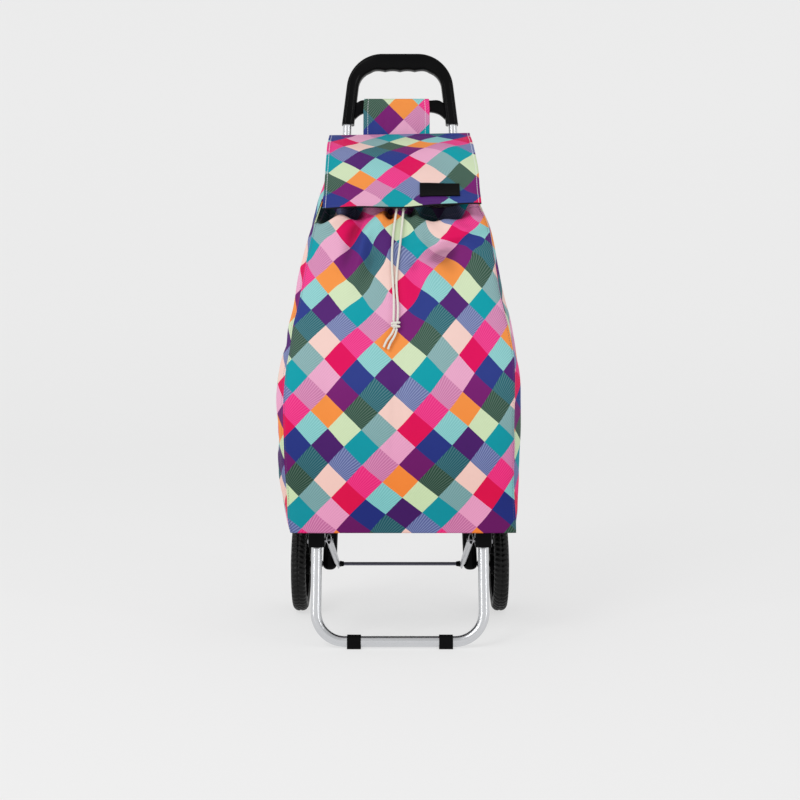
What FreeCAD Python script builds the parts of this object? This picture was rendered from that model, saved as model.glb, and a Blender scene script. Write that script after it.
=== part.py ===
import FreeCAD, Part
import math
import os
import Sketcher

# A two-wheeled shopping trolley: a leaning aluminium frame with a moulded loop handle,
# a fabric bag with a drawcord and a flap, two wheels on one axle, and a folding U stand.
# Frame of reference: +Z up, the front faces -Y, +X to the right of somebody who looks
# at the front; the origin lies on the floor under the middle of the trolley. Millimetres.

DIMENSIONS = [
    # axle, wheels and lean of the frame
    ("axle_back", 100), ("axle_height", 80), ("axle_diameter", 6), ("lean_angle", 2.67),
    ("bore_clearance", 0.05), ("seat_gap", 0.3),
    ("wheel_diameter", 160), ("wheel_width", 25), ("wheel_outboard", 49),
    ("tyre_thickness", 15), ("tyre_shoulder", 8),
    ("rim_ring", 8), ("web_thickness", 6), ("hub_diameter", 36), ("hub_inner_length", 16),
    ("bush_diameter", 14), ("rim_hole_diameter", 24), ("rim_hole_circle", 76),
    ("rim_hole_count", 6), ("cap_depth", 5), ("cap_wall", 2), ("cap_inset", 1),
    ("cap_round", 4), ("cap_nut_room", 2), ("axle_nut_diameter", 13),
    ("axle_nut_length", 2), ("collar_diameter", 10.6), ("collar_length", 7), ("collar_tip", 1),
    # leaning tubes
    ("tube_diameter", 15), ("tube_wall", 1.2), ("tube_low_half", 121.7), ("tube_top_half", 91),
    ("tube_top_rise", 759), ("tube_insert", 14), ("cross_diameter", 12), ("cross_wall", 1),
    ("cross_low_rise", 230), ("cross_high_rise", 560),
    ("bearing_diameter", 24), ("bearing_below_axle", 10), ("bearing_round", 9),
    ("bearing_under_bag", 1), ("bearing_tube_floor", 18), ("ledge_depth", 16), ("ledge_width", 18),
    ("ledge_height", 12),
    # handle
    ("handle_depth", 24), ("handle_outboard", 9.5), ("handle_taper", 15.7),
    ("handle_height", 122), ("handle_outer_radius", 53), ("handle_inner_radius", 22),
    ("arm_foot_width", 21.5), ("arm_top_width", 16), ("grip_thickness", 29.5),
    ("handle_rounding", 6), ("finger_pitch", 25.5), ("finger_radius", 44), ("finger_count", 4),
    ("finger_depth", 1.9),
    ("bridge_depth", 14), ("bridge_low", 18), ("bridge_high", 43), ("bridge_flat_half", 42),
    ("bridge_end_low", 6), ("bridge_end_high", 38), ("bridge_gusset_half", 57),
    ("screw_diameter", 4), ("screw_head_diameter", 7), ("screw_head_height", 2),
    ("screw_rise", 7), ("cut_overrun", 5),
    # base rails, front joints and stand
    ("pivot_front", 128), ("pivot_below_bag", 16.8), ("pivot_pin_diameter", 6),
    ("pin_proud", 1.5), ("pin_head", 1), ("pin_head_lip", 2),
    ("rail_inboard", 12.2), ("rail_converge", 2.6), ("rail_width", 8), ("rail_depth", 18),
    ("rail_flat", 5), ("rail_flat_depth", 15), ("rail_end", 12), ("rail_rear_end", 8), ("rail_taper", 60),
    ("joint_outboard", 6.8), ("joint_width", 25), ("joint_height", 24.5), ("joint_under_bag", 0.5),
    ("joint_ahead", 18), ("joint_behind", 16), ("joint_wall", 3.4), ("joint_front_wall", 5),
    ("joint_roof", 5), ("joint_rounding", 4),
    ("stand_diameter", 16.6), ("stand_wall", 1.2), ("stand_front", 169.75),
    ("stand_corner", 45), ("stand_above_pivot", 6), ("stand_plug_length", 14), ("plug_rim", 1.5),
    ("foot_height", 20.5), ("foot_width", 21), ("foot_inboard", 3.3), ("foot_corner", 3),
    # bag: levels from the floor up, each with half its width and how far its front lies
    ("bag_wall", 2.5), ("bag_tube_gap", 3),
    ("bag_rise_a", 175.3), ("bag_half_a", 172), ("bag_front_a", -163),
    ("bag_rise_b", 250), ("bag_half_b", 182), ("bag_front_b", -162),
    ("bag_rise_c", 370), ("bag_half_c", 188), ("bag_front_c", -154),
    ("bag_rise_d", 460), ("bag_half_d", 180), ("bag_front_d", -139),
    ("bag_rise_e", 560), ("bag_half_e", 160), ("bag_front_e", -109),
    ("bag_rise_f", 692.5), ("bag_half_f", 126), ("bag_front_f", -53),
    ("bag_rise_g", 728.5), ("bag_half_g", 124), ("bag_front_g", -20),
    ("bag_rise_p", 776), ("bag_half_p", 122), ("bag_front_p", 28),
    ("bag_rise_q", 799), ("bag_half_q", 121), ("bag_front_q", 75),
    ("bag_rise_v", 813), ("bag_half_v", 120), ("bag_front_v", 116),
    ("base_fabric", 2), ("board_thickness", 4), ("board_margin", 4),
    ("loop_wall", 2.6), ("loop_length", 40), ("loop_low_rise", 170), ("loop_high_rise", 500),
    # flap, tab and label
    ("flap_half", 123.5), ("flap_thickness", 4), ("flap_gap", 0.5), ("flap_front", 68),
    ("flap_drop", 14), ("flap_rear", 120.5), ("flap_rear_rise", 1.5),
    ("label_length", 63.5), ("label_width", 30), ("label_thickness", 0.8), ("label_side", 63.2),
    ("label_back", 38),
    ("tab_half", 57), ("tab_to_left", 6), ("tab_thickness", 2), ("tab_slack", 0.4),
    ("tab_low", 18),
    # drawcord
    ("cord_diameter", 3.6), ("eyelet_diameter", 9), ("eyelet_bore", 5.4), ("eyelet_below_rim", 17.5),
    ("eyelet_half", 5.4), ("eyelet_lip", 0.8), ("knot_width", 15), ("knot_height", 12),
    ("knot_depth", 7),
]

# Sizes that follow others, so that the pieces keep together.
DERIVED = [
    ("wheel_middle", "tube_low_half + wheel_outboard"),
    ("rail_middle", "tube_low_half - rail_inboard"),
    ("rail_rear_middle", "rail_middle - rail_converge"),
    ("joint_inner", "rail_middle + joint_outboard"),
    ("joint_outer", "joint_inner + joint_width"),
    ("joint_top", "bag_rise_a - joint_under_bag"),
    ("joint_low", "joint_top - joint_height"),
    ("pivot_height", "bag_rise_a - pivot_below_bag"),
    ("joint_front", "pivot_front + joint_ahead"),
    ("joint_rear", "pivot_front - joint_behind"),
    ("stand_half", "(joint_inner + joint_outer) / 2"),
    ("foot_middle", "stand_half - stand_corner - foot_width / 2 - foot_inboard"),
    ("handle_foot_half", "tube_top_half + handle_outboard"),
    ("handle_top_half", "handle_foot_half - handle_taper"),
    ("eyelet_height", "bag_rise_f - eyelet_below_rim"),
]

# Levels that all four walls of the bag share, and those above the mouth's front edge.
WALL_LEVELS = "abcdef"
MOUTH_LEVELS = "gpqv"

# The two hanging ends of the drawcord: places across and up, and how far the cord's
# middle stands off the front of the bag.
CORD_ROUTES = {
    "drawcord_left": [
        (-5.4, 675.5, 2.6), (-5.9, 671.5, 4.6), (-6.9, 664, 4.6), (-9.6, 645, 3.6),
        (-11.9, 620, 3.4), (-12.9, 594, 3.6), (-11.6, 566, 3.4), (-9.6, 540, 3.6),
        (-9.3, 518, 3.4), (-9.9, 498.4, 3.7),
    ],
    "drawcord_right": [
        (5.4, 675.5, 2.6), (5.1, 671.5, 4.6), (4.6, 664, 4.6), (3.0, 646, 3.6),
        (0.6, 622, 3.4), (-2.7, 596, 3.6), (-5.7, 568, 3.4), (-5.3, 542, 3.6),
        (-2.4, 519, 3.4), (-3.7, 498.4, 3.7),
    ],
    "drawcord_tail_left": [
        (-8.9, 485.9, 3.9), (-11.6, 479.5, 3.9), (-16.2, 473.5, 3.6), (-21.5, 466.5, 3.4),
        (-24.8, 458.0, 3.5),
    ],
    "drawcord_tail_right": [
        (-4.9, 485.9, 3.9), (-6.4, 478.5, 3.9), (-10.6, 470.5, 3.6), (-15.4, 463.5, 3.4),
        (-18.2, 455.0, 3.5),
    ],
}
KNOT_MIDDLE = (-6.8, 491.3)

doc = FreeCAD.newDocument("Trolley")
sheet = doc.addObject("Spreadsheet::Sheet", "Sizes")
cells = [(alias, str(value)) for alias, value in DIMENSIONS]
cells += [(alias, "=" + expression) for alias, expression in DERIVED]
for row, (alias, content) in enumerate(cells, start=1):
    sheet.set("A%d" % row, alias)
    sheet.set("B%d" % row, content)
    sheet.setAlias("B%d" % row, alias)
doc.recompute()

ACROSS = FreeCAD.Vector(1, 0, 0)
UP = FreeCAD.Vector(0, 0, 1)
SIDES = [("left", -1), ("right", 1)]
nodes = []


def number(expression):
    """Value of an expression of the sheet's cells."""
    return float(sheet.evalExpression(expression))


def size(alias):
    """Value of one cell of the sheet."""
    return number("Sizes." + alias)


def node(obj, label):
    """Name a finished sub-part and put it on the list to export."""
    obj.Label = label
    nodes.append(obj)
    return obj


# ---- placements ---------------------------------------------------------------------

def leaning(x, rise, depth=0):
    """Point in the plane of the leaning tubes: across, along the lean from the axle."""
    lean = math.radians(size("lean_angle"))
    back = size("axle_back") + rise * math.sin(lean) + depth * math.cos(lean)
    return FreeCAD.Vector(x, back, size("axle_height") + rise * math.cos(lean)
                          - depth * math.sin(lean))


def lean_placement(rise):
    """Frame of the leaning plane, moved along the lean from the axle."""
    return FreeCAD.Placement(leaning(0, rise), FreeCAD.Rotation(ACROSS, -size("lean_angle")))


def stand_placement():
    """Frame of the stand: at the pivot, turned so that the legs hang along its -Z."""
    return FreeCAD.Placement(pivot_point(0), FreeCAD.Rotation(ACROSS, -stand_angle()))


def pivot_point(x):
    return FreeCAD.Vector(x, -size("pivot_front"), size("pivot_height"))


def foot_point(x):
    return FreeCAD.Vector(x, -size("stand_front"), size("foot_height") / 2)


def stand_angle():
    reach = foot_point(0) - pivot_point(0)
    return math.degrees(math.atan2(-reach.y, -reach.z))


def stand_length():
    return (foot_point(0) - pivot_point(0)).Length


def axle_point(x):
    return FreeCAD.Vector(x, size("axle_back"), size("axle_height"))


def tube_point(side, rise):
    """Middle of a leaning tube, at a distance along the lean from the axle."""
    low, top = size("tube_low_half"), size("tube_top_half")
    return leaning(side * (low + (top - low) * rise / size("tube_top_rise")), rise)


# ---- primitives, booleans, sketches --------------------------------------------------

def cylinder(name, radius, start, end):
    """Round bar from start to end; its radius is an expression of the sheet."""
    bar = doc.addObject("Part::Cylinder", name)
    bar.setExpression("Radius", radius)
    bar.Height = (end - start).Length
    bar.Placement = FreeCAD.Placement(start, FreeCAD.Rotation(UP, end - start))
    return bar


def cut(name, base, *tools):
    """Base less each of the tools in turn."""
    for count, tool in enumerate(tools):
        step = doc.addObject("Part::Cut", "%s_cut_%d" % (name, count))
        step.Base = base
        step.Tool = tool
        base = step
    return base


def fuse(name, *shapes):
    joined = doc.addObject("Part::MultiFuse", name + "_fuse")
    joined.Shapes = list(shapes)
    return joined


def group(name, *shapes):
    """Several separate solids that share one node."""
    together = doc.addObject("Part::Compound", name + "_group")
    together.Links = list(shapes)
    return together


def pipe(name, outer, bore, start, end):
    """Hollow tube from start to end."""
    return cut(name, cylinder(name + "_outer", outer, start, end),
               cylinder(name + "_bore", bore, start, end))


def box(name, length, width, height, placement):
    """Block whose three sizes are expressions of the sheet."""
    block = doc.addObject("Part::Box", name)
    block.setExpression("Length", length)
    block.setExpression("Width", width)
    block.setExpression("Height", height)
    block.Placement = placement
    return block


def new_body(name, placement=None):
    body = doc.addObject("PartDesign::Body", name)
    if placement is not None:
        body.Placement = placement
    return body


def sketch_on(body, role, name, rise=None):
    """Sketch on one of the body's own origin planes, lifted by an expression."""
    sketch = body.newObject("Sketcher::SketchObject", name)
    plane = next(item for item in body.Origin.OriginFeatures if item.Role == role)
    sketch.AttachmentSupport = [(plane, "")]
    sketch.MapMode = "FlatFace"
    if rise is not None:
        sketch.setExpression("AttachmentOffset.Base.z", rise)
    return sketch


def bind(sketch, kind, value, *where):
    """Constraint whose value follows an expression of the sheet."""
    index = sketch.addConstraint(Sketcher.Constraint(kind, *where, number(value)))
    sketch.setExpression("Constraints[%d]" % index, value)


def outline(sketch, corners):
    """Closed outline of straight sides; each corner is a pair of expressions."""
    points = [FreeCAD.Vector(number(x), number(y), 0) for x, y in corners]
    count = len(points)
    first = sketch.GeometryCount
    for i in range(count):
        sketch.addGeometry(Part.LineSegment(points[i], points[(i + 1) % count]), False)
    for i in range(count):
        sketch.addConstraint(
            Sketcher.Constraint("Coincident", first + i, 2, first + (i + 1) % count, 1))
        bind(sketch, "DistanceX", corners[i][0], -1, 1, first + i, 1)
        bind(sketch, "DistanceY", corners[i][1], -1, 1, first + i, 1)
    return sketch


def ring(sketch, x, y, radius):
    """Circle whose middle and radius are expressions."""
    middle = FreeCAD.Vector(number(x), number(y), 0)
    index = sketch.addGeometry(Part.Circle(middle, UP, number(radius)), False)
    bind(sketch, "DistanceX", x, -1, 1, index, 3)
    bind(sketch, "DistanceY", y, -1, 1, index, 3)
    bind(sketch, "Radius", radius, index)
    return sketch


def pad(body, sketch, length, symmetric=True):
    feature = body.newObject("PartDesign::Pad", sketch.Name + "_pad")
    feature.Profile = sketch
    feature.setExpression("Length", length)
    feature.SideType = "Symmetric" if symmetric else "One side"
    return feature


def pocket_through(body, sketch):
    """Cut right through the body, both ways, and check that it cut something."""
    before = body.Tip.Shape.Volume
    feature = body.newObject("PartDesign::Pocket", sketch.Name + "_pocket")
    feature.Profile = sketch
    feature.Type = "ThroughAll"
    feature.SideType = "Symmetric"
    doc.recompute()
    assert feature.Shape.Volume < before - 1, sketch.Name
    return feature


def fillet(body, base, radius, wanted):
    """Round those edges of base that the test picks."""
    doc.recompute()
    names = ["Edge%d" % (i + 1) for i, edge in enumerate(base.Shape.Edges) if wanted(edge)]
    feature = body.newObject("PartDesign::Fillet", base.Name + "_round")
    feature.Base = (base, names)
    feature.setExpression("Radius", radius)
    return feature


def runs_along(edge, axis):
    """True for a straight edge parallel to an axis."""
    if edge.Curve.TypeId != "Part::GeomLine":
        return False
    return abs(abs(edge.Curve.Direction.dot(axis)) - 1) < 1e-6


def revolve(body, sketch, role):
    """Full turn of a sketch about one of the body's own axes."""
    feature = body.newObject("PartDesign::Revolution", sketch.Name + "_turn")
    feature.Profile = sketch
    axis = next(item for item in body.Origin.OriginFeatures if item.Role == role)
    feature.ReferenceAxis = (axis, [""])
    feature.Angle = 360
    return feature


# ---- leaning frame -------------------------------------------------------------------

def main_tube(side, word):
    """Aluminium tube from the bearing block on the axle up into the handle."""
    name = "main_tube_" + word
    start = tube_point(side, size("bearing_tube_floor"))
    end = tube_point(side, size("tube_top_rise") + size("tube_insert"))
    tube = pipe(name, "Sizes.tube_diameter / 2", "Sizes.tube_diameter / 2 - Sizes.tube_wall",
                start, end)
    node(tube, name)


def cross_tube(name, rise):
    """Bar between the two leaning tubes, its ends against their inner sides."""
    reach = abs(tube_point(1, rise).x) - size("tube_diameter") / 2 - size("seat_gap")
    tube = pipe(name, "Sizes.cross_diameter / 2", "Sizes.cross_diameter / 2 - Sizes.cross_wall",
                leaning(-reach, rise), leaning(reach, rise))
    node(tube, name)


def bearing_block(side, word):
    """Moulded end that takes the tube above and the axle below, with a ledge for the bag."""
    name = "axle_bearing_" + word
    lean = math.cos(math.radians(size("lean_angle")))
    top = size("bag_rise_a") - size("bearing_under_bag")
    top_rise = (top - size("axle_height")) / lean
    low = tube_point(side, -size("bearing_below_axle"))
    shell = cylinder(name + "_shell", "Sizes.bearing_diameter / 2", low,
                     tube_point(side, top_rise))
    rounded = doc.addObject("Part::Fillet", name + "_rounded")
    rounded.Base = shell
    doc.recompute()
    lowest = min(range(3), key=lambda i: shell.Shape.Edges[i].CenterOfMass.z)
    radius = size("bearing_round")
    rounded.Edges = [(lowest + 1, radius, radius)]
    seat = tube_point(side, top_rise)
    corner = FreeCAD.Vector(seat.x - size("ledge_width") / 2,
                            seat.y - size("bearing_diameter") / 2 - size("ledge_depth"),
                            size("bag_rise_a") - size("seat_gap") - size("ledge_height"))
    ledge = box(name + "_ledge", "Sizes.ledge_width",
                "Sizes.ledge_depth + Sizes.bearing_diameter / 2", "Sizes.ledge_height",
                FreeCAD.Placement(corner, FreeCAD.Rotation()))
    socket = cylinder(name + "_socket", "Sizes.tube_diameter / 2 + Sizes.bore_clearance",
                      tube_point(side, size("bearing_tube_floor")),
                      tube_point(side, top_rise + size("cut_overrun")))
    reach = size("wheel_middle")
    bore = cylinder(name + "_bore", "Sizes.axle_diameter / 2 + Sizes.bore_clearance",
                    axle_point(-reach), axle_point(reach))
    node(cut(name, fuse(name, rounded, ledge), socket, bore), name)


def axle():
    """Steel axle between the outer nuts."""
    reach = hub_outer() + size("axle_nut_length") + size("seat_gap")
    node(cylinder("axle_rod", "Sizes.axle_diameter / 2", axle_point(-reach), axle_point(reach)),
         "axle")


def hub_outer():
    """Outer face of a wheel's hub, from the middle of the trolley."""
    return size("wheel_middle") + size("wheel_width") / 2 - size("cap_wall")


def axle_collars():
    """Tapered stop collars on the axle, inside the base rails' flattened ends."""
    stops = []
    for word, side in SIDES:
        cone = doc.addObject("Part::Cone", "axle_collar_%s_cone" % word)
        cone.setExpression("Radius1", "Sizes.collar_diameter / 2")
        cone.setExpression("Radius2", "Sizes.axle_diameter / 2 + Sizes.collar_tip")
        cone.setExpression("Height", "Sizes.collar_length")
        face = size("rail_rear_middle") - size("rail_flat") / 2 - size("seat_gap")
        cone.Placement = FreeCAD.Placement(axle_point(side * face),
                                           FreeCAD.Rotation(UP, ACROSS * -side))
        bore = cylinder("axle_collar_%s_bore" % word,
                        "Sizes.axle_diameter / 2 + Sizes.bore_clearance",
                        axle_point(side * face), axle_point(0))
        stops.append(cut("axle_collar_" + word, cone, bore))
    node(group("axle_collars", *stops), "axle_collars")


def axle_spacers():
    """Sleeves on the axle between the bearing blocks and the wheel hubs."""
    sleeves = []
    for word, side in SIDES:
        inner = size("tube_low_half") + size("bearing_diameter") / 2 + size("seat_gap")
        outer = hub_inner() - size("seat_gap")
        sleeves.append(pipe("axle_spacer_" + word, "Sizes.collar_diameter / 2",
                            "Sizes.axle_diameter / 2 + Sizes.bore_clearance",
                            axle_point(side * inner), axle_point(side * outer)))
    node(group("axle_spacers", *sleeves), "axle_spacers")


def hub_inner():
    """Inner face of a wheel's hub, from the middle of the trolley."""
    return size("wheel_middle") - size("hub_inner_length")


def axle_nuts():
    """Push nuts that keep the wheels on, hidden under the hub caps."""
    nuts = []
    for word, side in SIDES:
        start = hub_outer() + size("seat_gap")
        nuts.append(pipe("axle_nut_" + word, "Sizes.axle_nut_diameter / 2",
                         "Sizes.axle_diameter / 2 + Sizes.bore_clearance",
                         axle_point(side * start),
                         axle_point(side * (start + size("axle_nut_length")))))
    node(group("axle_nuts", *nuts), "axle_nuts")


# ---- wheels --------------------------------------------------------------------------

def wheel_placement(side):
    """Frame of a wheel: its axis is the body's X, which points away from the trolley."""
    turn = FreeCAD.Rotation(UP, 0 if side > 0 else 180)
    return FreeCAD.Placement(axle_point(side * size("wheel_middle")), turn)


def wheel_rim(side, word):
    """Moulded rim: hub, thin web with round holes, and the ring that carries the tyre."""
    name = "wheel_rim_" + word
    body = new_body(name, wheel_placement(side))
    seat = "Sizes.wheel_diameter / 2 - Sizes.tyre_thickness"
    ring_low = seat + " - Sizes.rim_ring"
    hub = "Sizes.hub_diameter / 2"
    bush = "Sizes.bush_diameter / 2"
    web = "Sizes.web_thickness / 2"
    face = "Sizes.wheel_width / 2 - Sizes.cap_wall"
    profile = sketch_on(body, "XY_Plane", name + "_profile")
    outline(profile, [
        ("-Sizes.hub_inner_length", bush), (face, bush), (face, hub), (web, hub),
        (web, ring_low), (face, ring_low), (face, seat), ("-(%s)" % face, seat),
        ("-(%s)" % face, ring_low), ("-(%s)" % web, ring_low), ("-(%s)" % web, hub),
        ("-Sizes.hub_inner_length", hub),
    ])
    revolve(body, profile, "X_Axis")
    doc.recompute()
    hole = sketch_on(body, "YZ_Plane", name + "_hole")
    ring(hole, "0", "Sizes.rim_hole_circle / 2", "Sizes.rim_hole_diameter / 2")
    pocket = pocket_through(body, hole)
    pattern = body.newObject("PartDesign::PolarPattern", name + "_holes")
    pattern.Originals = [pocket]
    pattern.Axis = (next(item for item in body.Origin.OriginFeatures
                         if item.Role == "X_Axis"), [""])
    pattern.Angle = 360
    pattern.setExpression("Occurrences", "Sizes.rim_hole_count")
    body.Tip = pattern
    node(body, name)


def wheel_tyre(side, word):
    """Rubber tyre with rounded shoulders on the rim's ring."""
    name = "wheel_tyre_" + word
    body = new_body(name, wheel_placement(side))
    half = "Sizes.wheel_width / 2"
    tread = "Sizes.wheel_diameter / 2"
    seat = tread + " - Sizes.tyre_thickness"
    profile = sketch_on(body, "XY_Plane", name + "_profile")
    outline(profile, [("-" + half, seat), (half, seat), (half, tread), ("-" + half, tread)])
    turned = revolve(body, profile, "X_Axis")
    radius = size("wheel_diameter") / 2
    fillet(body, turned, "Sizes.tyre_shoulder",
           lambda edge: abs(edge.BoundBox.ZMax - radius) < 0.01
           and edge.BoundBox.XLength < 0.01)
    node(body, name)


def wheel_bush(side, word):
    """Plain bush in the hub, running on the axle."""
    name = "wheel_bush_" + word
    bush = pipe(name, "Sizes.bush_diameter / 2", "Sizes.axle_diameter / 2 + Sizes.bore_clearance",
                axle_point(side * hub_inner()), axle_point(side * hub_outer()))
    node(bush, name)


def hub_cap(side, word):
    """Shallow cap over the axle's end and its nut."""
    name = "hub_cap_" + word
    start = axle_point(side * hub_outer())
    end = axle_point(side * (hub_outer() + size("cap_depth") + size("cap_wall")))
    shell = cylinder(name + "_shell", "Sizes.hub_diameter / 2 - Sizes.cap_inset", start, end)
    rounded = doc.addObject("Part::Fillet", name + "_rounded")
    rounded.Base = shell
    doc.recompute()
    outer = max(range(3), key=lambda i: side * shell.Shape.Edges[i].CenterOfMass.x
                - shell.Shape.Edges[i].BoundBox.XLength)
    radius = size("cap_round")
    rounded.Edges = [(outer + 1, radius, radius)]
    hollow = cylinder(name + "_hollow", "Sizes.axle_nut_diameter / 2 + Sizes.cap_nut_room",
                      start, axle_point(side * (hub_outer() + size("cap_depth"))))
    node(cut(name, rounded, hollow), name)


# ---- handle --------------------------------------------------------------------------

def is_across(edge):
    """True for an edge that runs from the front of the handle to its back."""
    return runs_along(edge, FreeCAD.Vector(0, 1, 0))


def handle_loop():
    """Moulded handle: two arms and a grip in one loop, with four finger hollows."""
    name = "handle"
    body = new_body(name + "_loop", lean_placement(size("tube_top_rise")))
    top = "Sizes.handle_height"
    under = "Sizes.handle_height - Sizes.grip_thickness"
    foot = "Sizes.handle_foot_half"
    foot_in = "Sizes.handle_foot_half - Sizes.arm_foot_width"
    crown = "Sizes.handle_top_half"
    crown_in = "Sizes.handle_top_half - Sizes.arm_top_width"
    shape = sketch_on(body, "XZ_Plane", name + "_outline")
    outline(shape, [
        (foot_in, "0"), (foot, "0"), (crown, top), ("-" + crown, top), ("-" + foot, "0"),
        ("-(%s)" % foot_in, "0"), ("-(%s)" % crown_in, under), (crown_in, under),
    ])
    blank = pad(body, shape, "Sizes.handle_depth")
    outer = fillet(body, blank, "Sizes.handle_outer_radius",
                   lambda edge: is_across(edge) and edge.CenterOfMass.z > number(top) - 1)
    inner = fillet(body, outer, "Sizes.handle_inner_radius",
                   lambda edge: is_across(edge)
                   and abs(edge.CenterOfMass.z - number(under)) < 1)
    fillet(body, inner, "Sizes.handle_rounding",
           lambda edge: not is_across(edge) and edge.BoundBox.ZMax > 1)
    tools = []
    middle = size("handle_height") - size("grip_thickness") + size("finger_depth")
    middle -= size("finger_radius")
    count = int(size("finger_count"))
    for finger in range(count):
        x = (finger - (count - 1) / 2) * size("finger_pitch")
        rise = size("tube_top_rise") + middle
        tools.append(cylinder("finger_hollow_%d" % finger, "Sizes.finger_radius",
                              leaning(x, rise, -size("handle_depth")),
                              leaning(x, rise, size("handle_depth"))))
    for word, side in SIDES:
        end = size("tube_top_rise") + size("tube_insert") + size("bore_clearance")
        tools.append(cylinder("handle_socket_" + word,
                              "Sizes.tube_diameter / 2 + Sizes.bore_clearance",
                              tube_point(side, size("tube_top_rise") - size("cut_overrun")),
                              tube_point(side, end)))
        tools.append(screw_shank("handle_screw_hole_" + word, side, size("bore_clearance")))
    node(cut(name, body, *tools), name)


def handle_bridge():
    """Arched bar between the arms that the bag's tab hangs on."""
    name = "handle_bridge"
    body = new_body(name, lean_placement(size("tube_top_rise")))
    slope = "(Sizes.handle_foot_half - Sizes.arm_foot_width - Sizes.handle_top_half"
    slope += " + Sizes.arm_top_width) / (Sizes.handle_height - Sizes.grip_thickness)"
    inner = "Sizes.handle_foot_half - Sizes.arm_foot_width - Sizes.bore_clearance"
    low = "%s - Sizes.bridge_end_low * %s" % (inner, slope)
    high = "%s - Sizes.bridge_end_high * %s" % (inner, slope)
    flat = "Sizes.bridge_flat_half"
    gusset = "Sizes.bridge_gusset_half"
    shape = sketch_on(body, "XZ_Plane", name + "_outline")
    outline(shape, [
        (low, "Sizes.bridge_end_low"), (high, "Sizes.bridge_end_high"),
        (flat, "Sizes.bridge_high"), ("-" + flat, "Sizes.bridge_high"),
        ("-(%s)" % high, "Sizes.bridge_end_high"), ("-(%s)" % low, "Sizes.bridge_end_low"),
        ("-" + gusset, "Sizes.bridge_low"), (gusset, "Sizes.bridge_low"),
    ])
    blank = pad(body, shape, "Sizes.bridge_depth")
    fillet(body, blank, "Sizes.tab_thickness",
           lambda edge: not is_across(edge) and edge.BoundBox.XLength > 10)
    node(body, name)


def screw_shank(name, side, clearance):
    """Shank of a handle screw: it enters the arm's back and ends inside the tube."""
    rise = size("tube_top_rise") + size("screw_rise")
    x = tube_point(side, rise).x
    shank = cylinder(name, "Sizes.screw_diameter / 2 + %s" % clearance,
                     leaning(x, rise, size("tube_diameter") / 2 - size("bore_clearance")),
                     leaning(x, rise, size("handle_depth") / 2 + size("cut_overrun")))
    return shank


def handle_screws():
    """Two screws at the back of the arms that hold the tubes."""
    screws = []
    for word, side in SIDES:
        rise = size("tube_top_rise") + size("screw_rise")
        x = tube_point(side, rise).x
        head = cylinder("handle_screw_head_" + word, "Sizes.screw_head_diameter / 2",
                        leaning(x, rise, size("handle_depth") / 2),
                        leaning(x, rise, size("handle_depth") / 2 + size("screw_head_height")))
        start = leaning(x, rise, size("tube_diameter") / 2 + size("bore_clearance"))
        shank = cylinder("handle_screw_shank_" + word, "Sizes.screw_diameter / 2", start,
                         leaning(x, rise, size("handle_depth") / 2
                                 + size("screw_head_height") / 2))
        screws.append(fuse("handle_screw_" + word, head, shank))
    node(group("handle_screws", *screws), "handle_screws")


# ---- base rails, front joints, stand -------------------------------------------------

def base_rail(side, word):
    """Oval tube from the front joint down to the axle, pressed flat around the axle."""
    name = "base_rail_" + word
    pivot = pivot_point(side * size("rail_middle"))
    rear = axle_point(side * size("rail_rear_middle"))
    along = rear - pivot
    along.x = 0
    along.normalize()
    turn = FreeCAD.Rotation(UP, along)
    upright = FreeCAD.Rotation(turn.multVec(ACROSS), 0)
    length = (FreeCAD.Vector(0, rear.y, rear.z) - FreeCAD.Vector(0, pivot.y, pivot.z)).Length
    shift = FreeCAD.Vector(rear.x - pivot.x, 0, 0)
    stations = [
        (-size("rail_end"), 0, "Sizes.rail_width", "Sizes.rail_depth"),
        (length - size("rail_taper"), 0.5, "Sizes.rail_width", "Sizes.rail_depth"),
        (length - size("rail_end"), 1, "Sizes.rail_flat", "Sizes.rail_flat_depth"),
        (length + size("rail_rear_end"), 1, "Sizes.rail_flat", "Sizes.rail_flat_depth"),
    ]
    sections = []
    for count, (distance, share, width, depth) in enumerate(stations):
        oval = doc.addObject("Part::Ellipse", "%s_section_%d" % (name, count))
        oval.setExpression("MajorRadius", depth + " / 2")
        oval.setExpression("MinorRadius", width + " / 2")
        oval.Placement = FreeCAD.Placement(
            pivot + along * distance + shift * share,
            turn.multiply(upright).multiply(FreeCAD.Rotation(UP, 90)))
        sections.append(oval)
    loft = doc.addObject("Part::Loft", name + "_loft")
    loft.Sections = sections
    loft.Solid = True
    loft.Ruled = True
    reach = size("wheel_middle")
    bore = cylinder(name + "_axle_bore", "Sizes.axle_diameter / 2 + Sizes.bore_clearance",
                    axle_point(-reach), axle_point(reach))
    pin_bore = cylinder(name + "_pin_bore",
                        "Sizes.pivot_pin_diameter / 2 + Sizes.bore_clearance",
                        pivot_point(-reach), pivot_point(reach))
    mouth = doc.addObject("Part::Ellipse", name + "_mouth")
    mouth.setExpression("MajorRadius", "Sizes.rail_depth / 2 - Sizes.tube_wall")
    mouth.setExpression("MinorRadius", "Sizes.rail_width / 2 - Sizes.tube_wall")
    mouth.Placement = sections[0].Placement
    inside = doc.addObject("Part::Extrusion", name + "_inside")
    inside.Base = mouth
    inside.Dir = along
    inside.LengthFwd = length - size("rail_taper")
    inside.Solid = True
    node(cut(name, loft, inside, bore, pin_bore), name)


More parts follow.
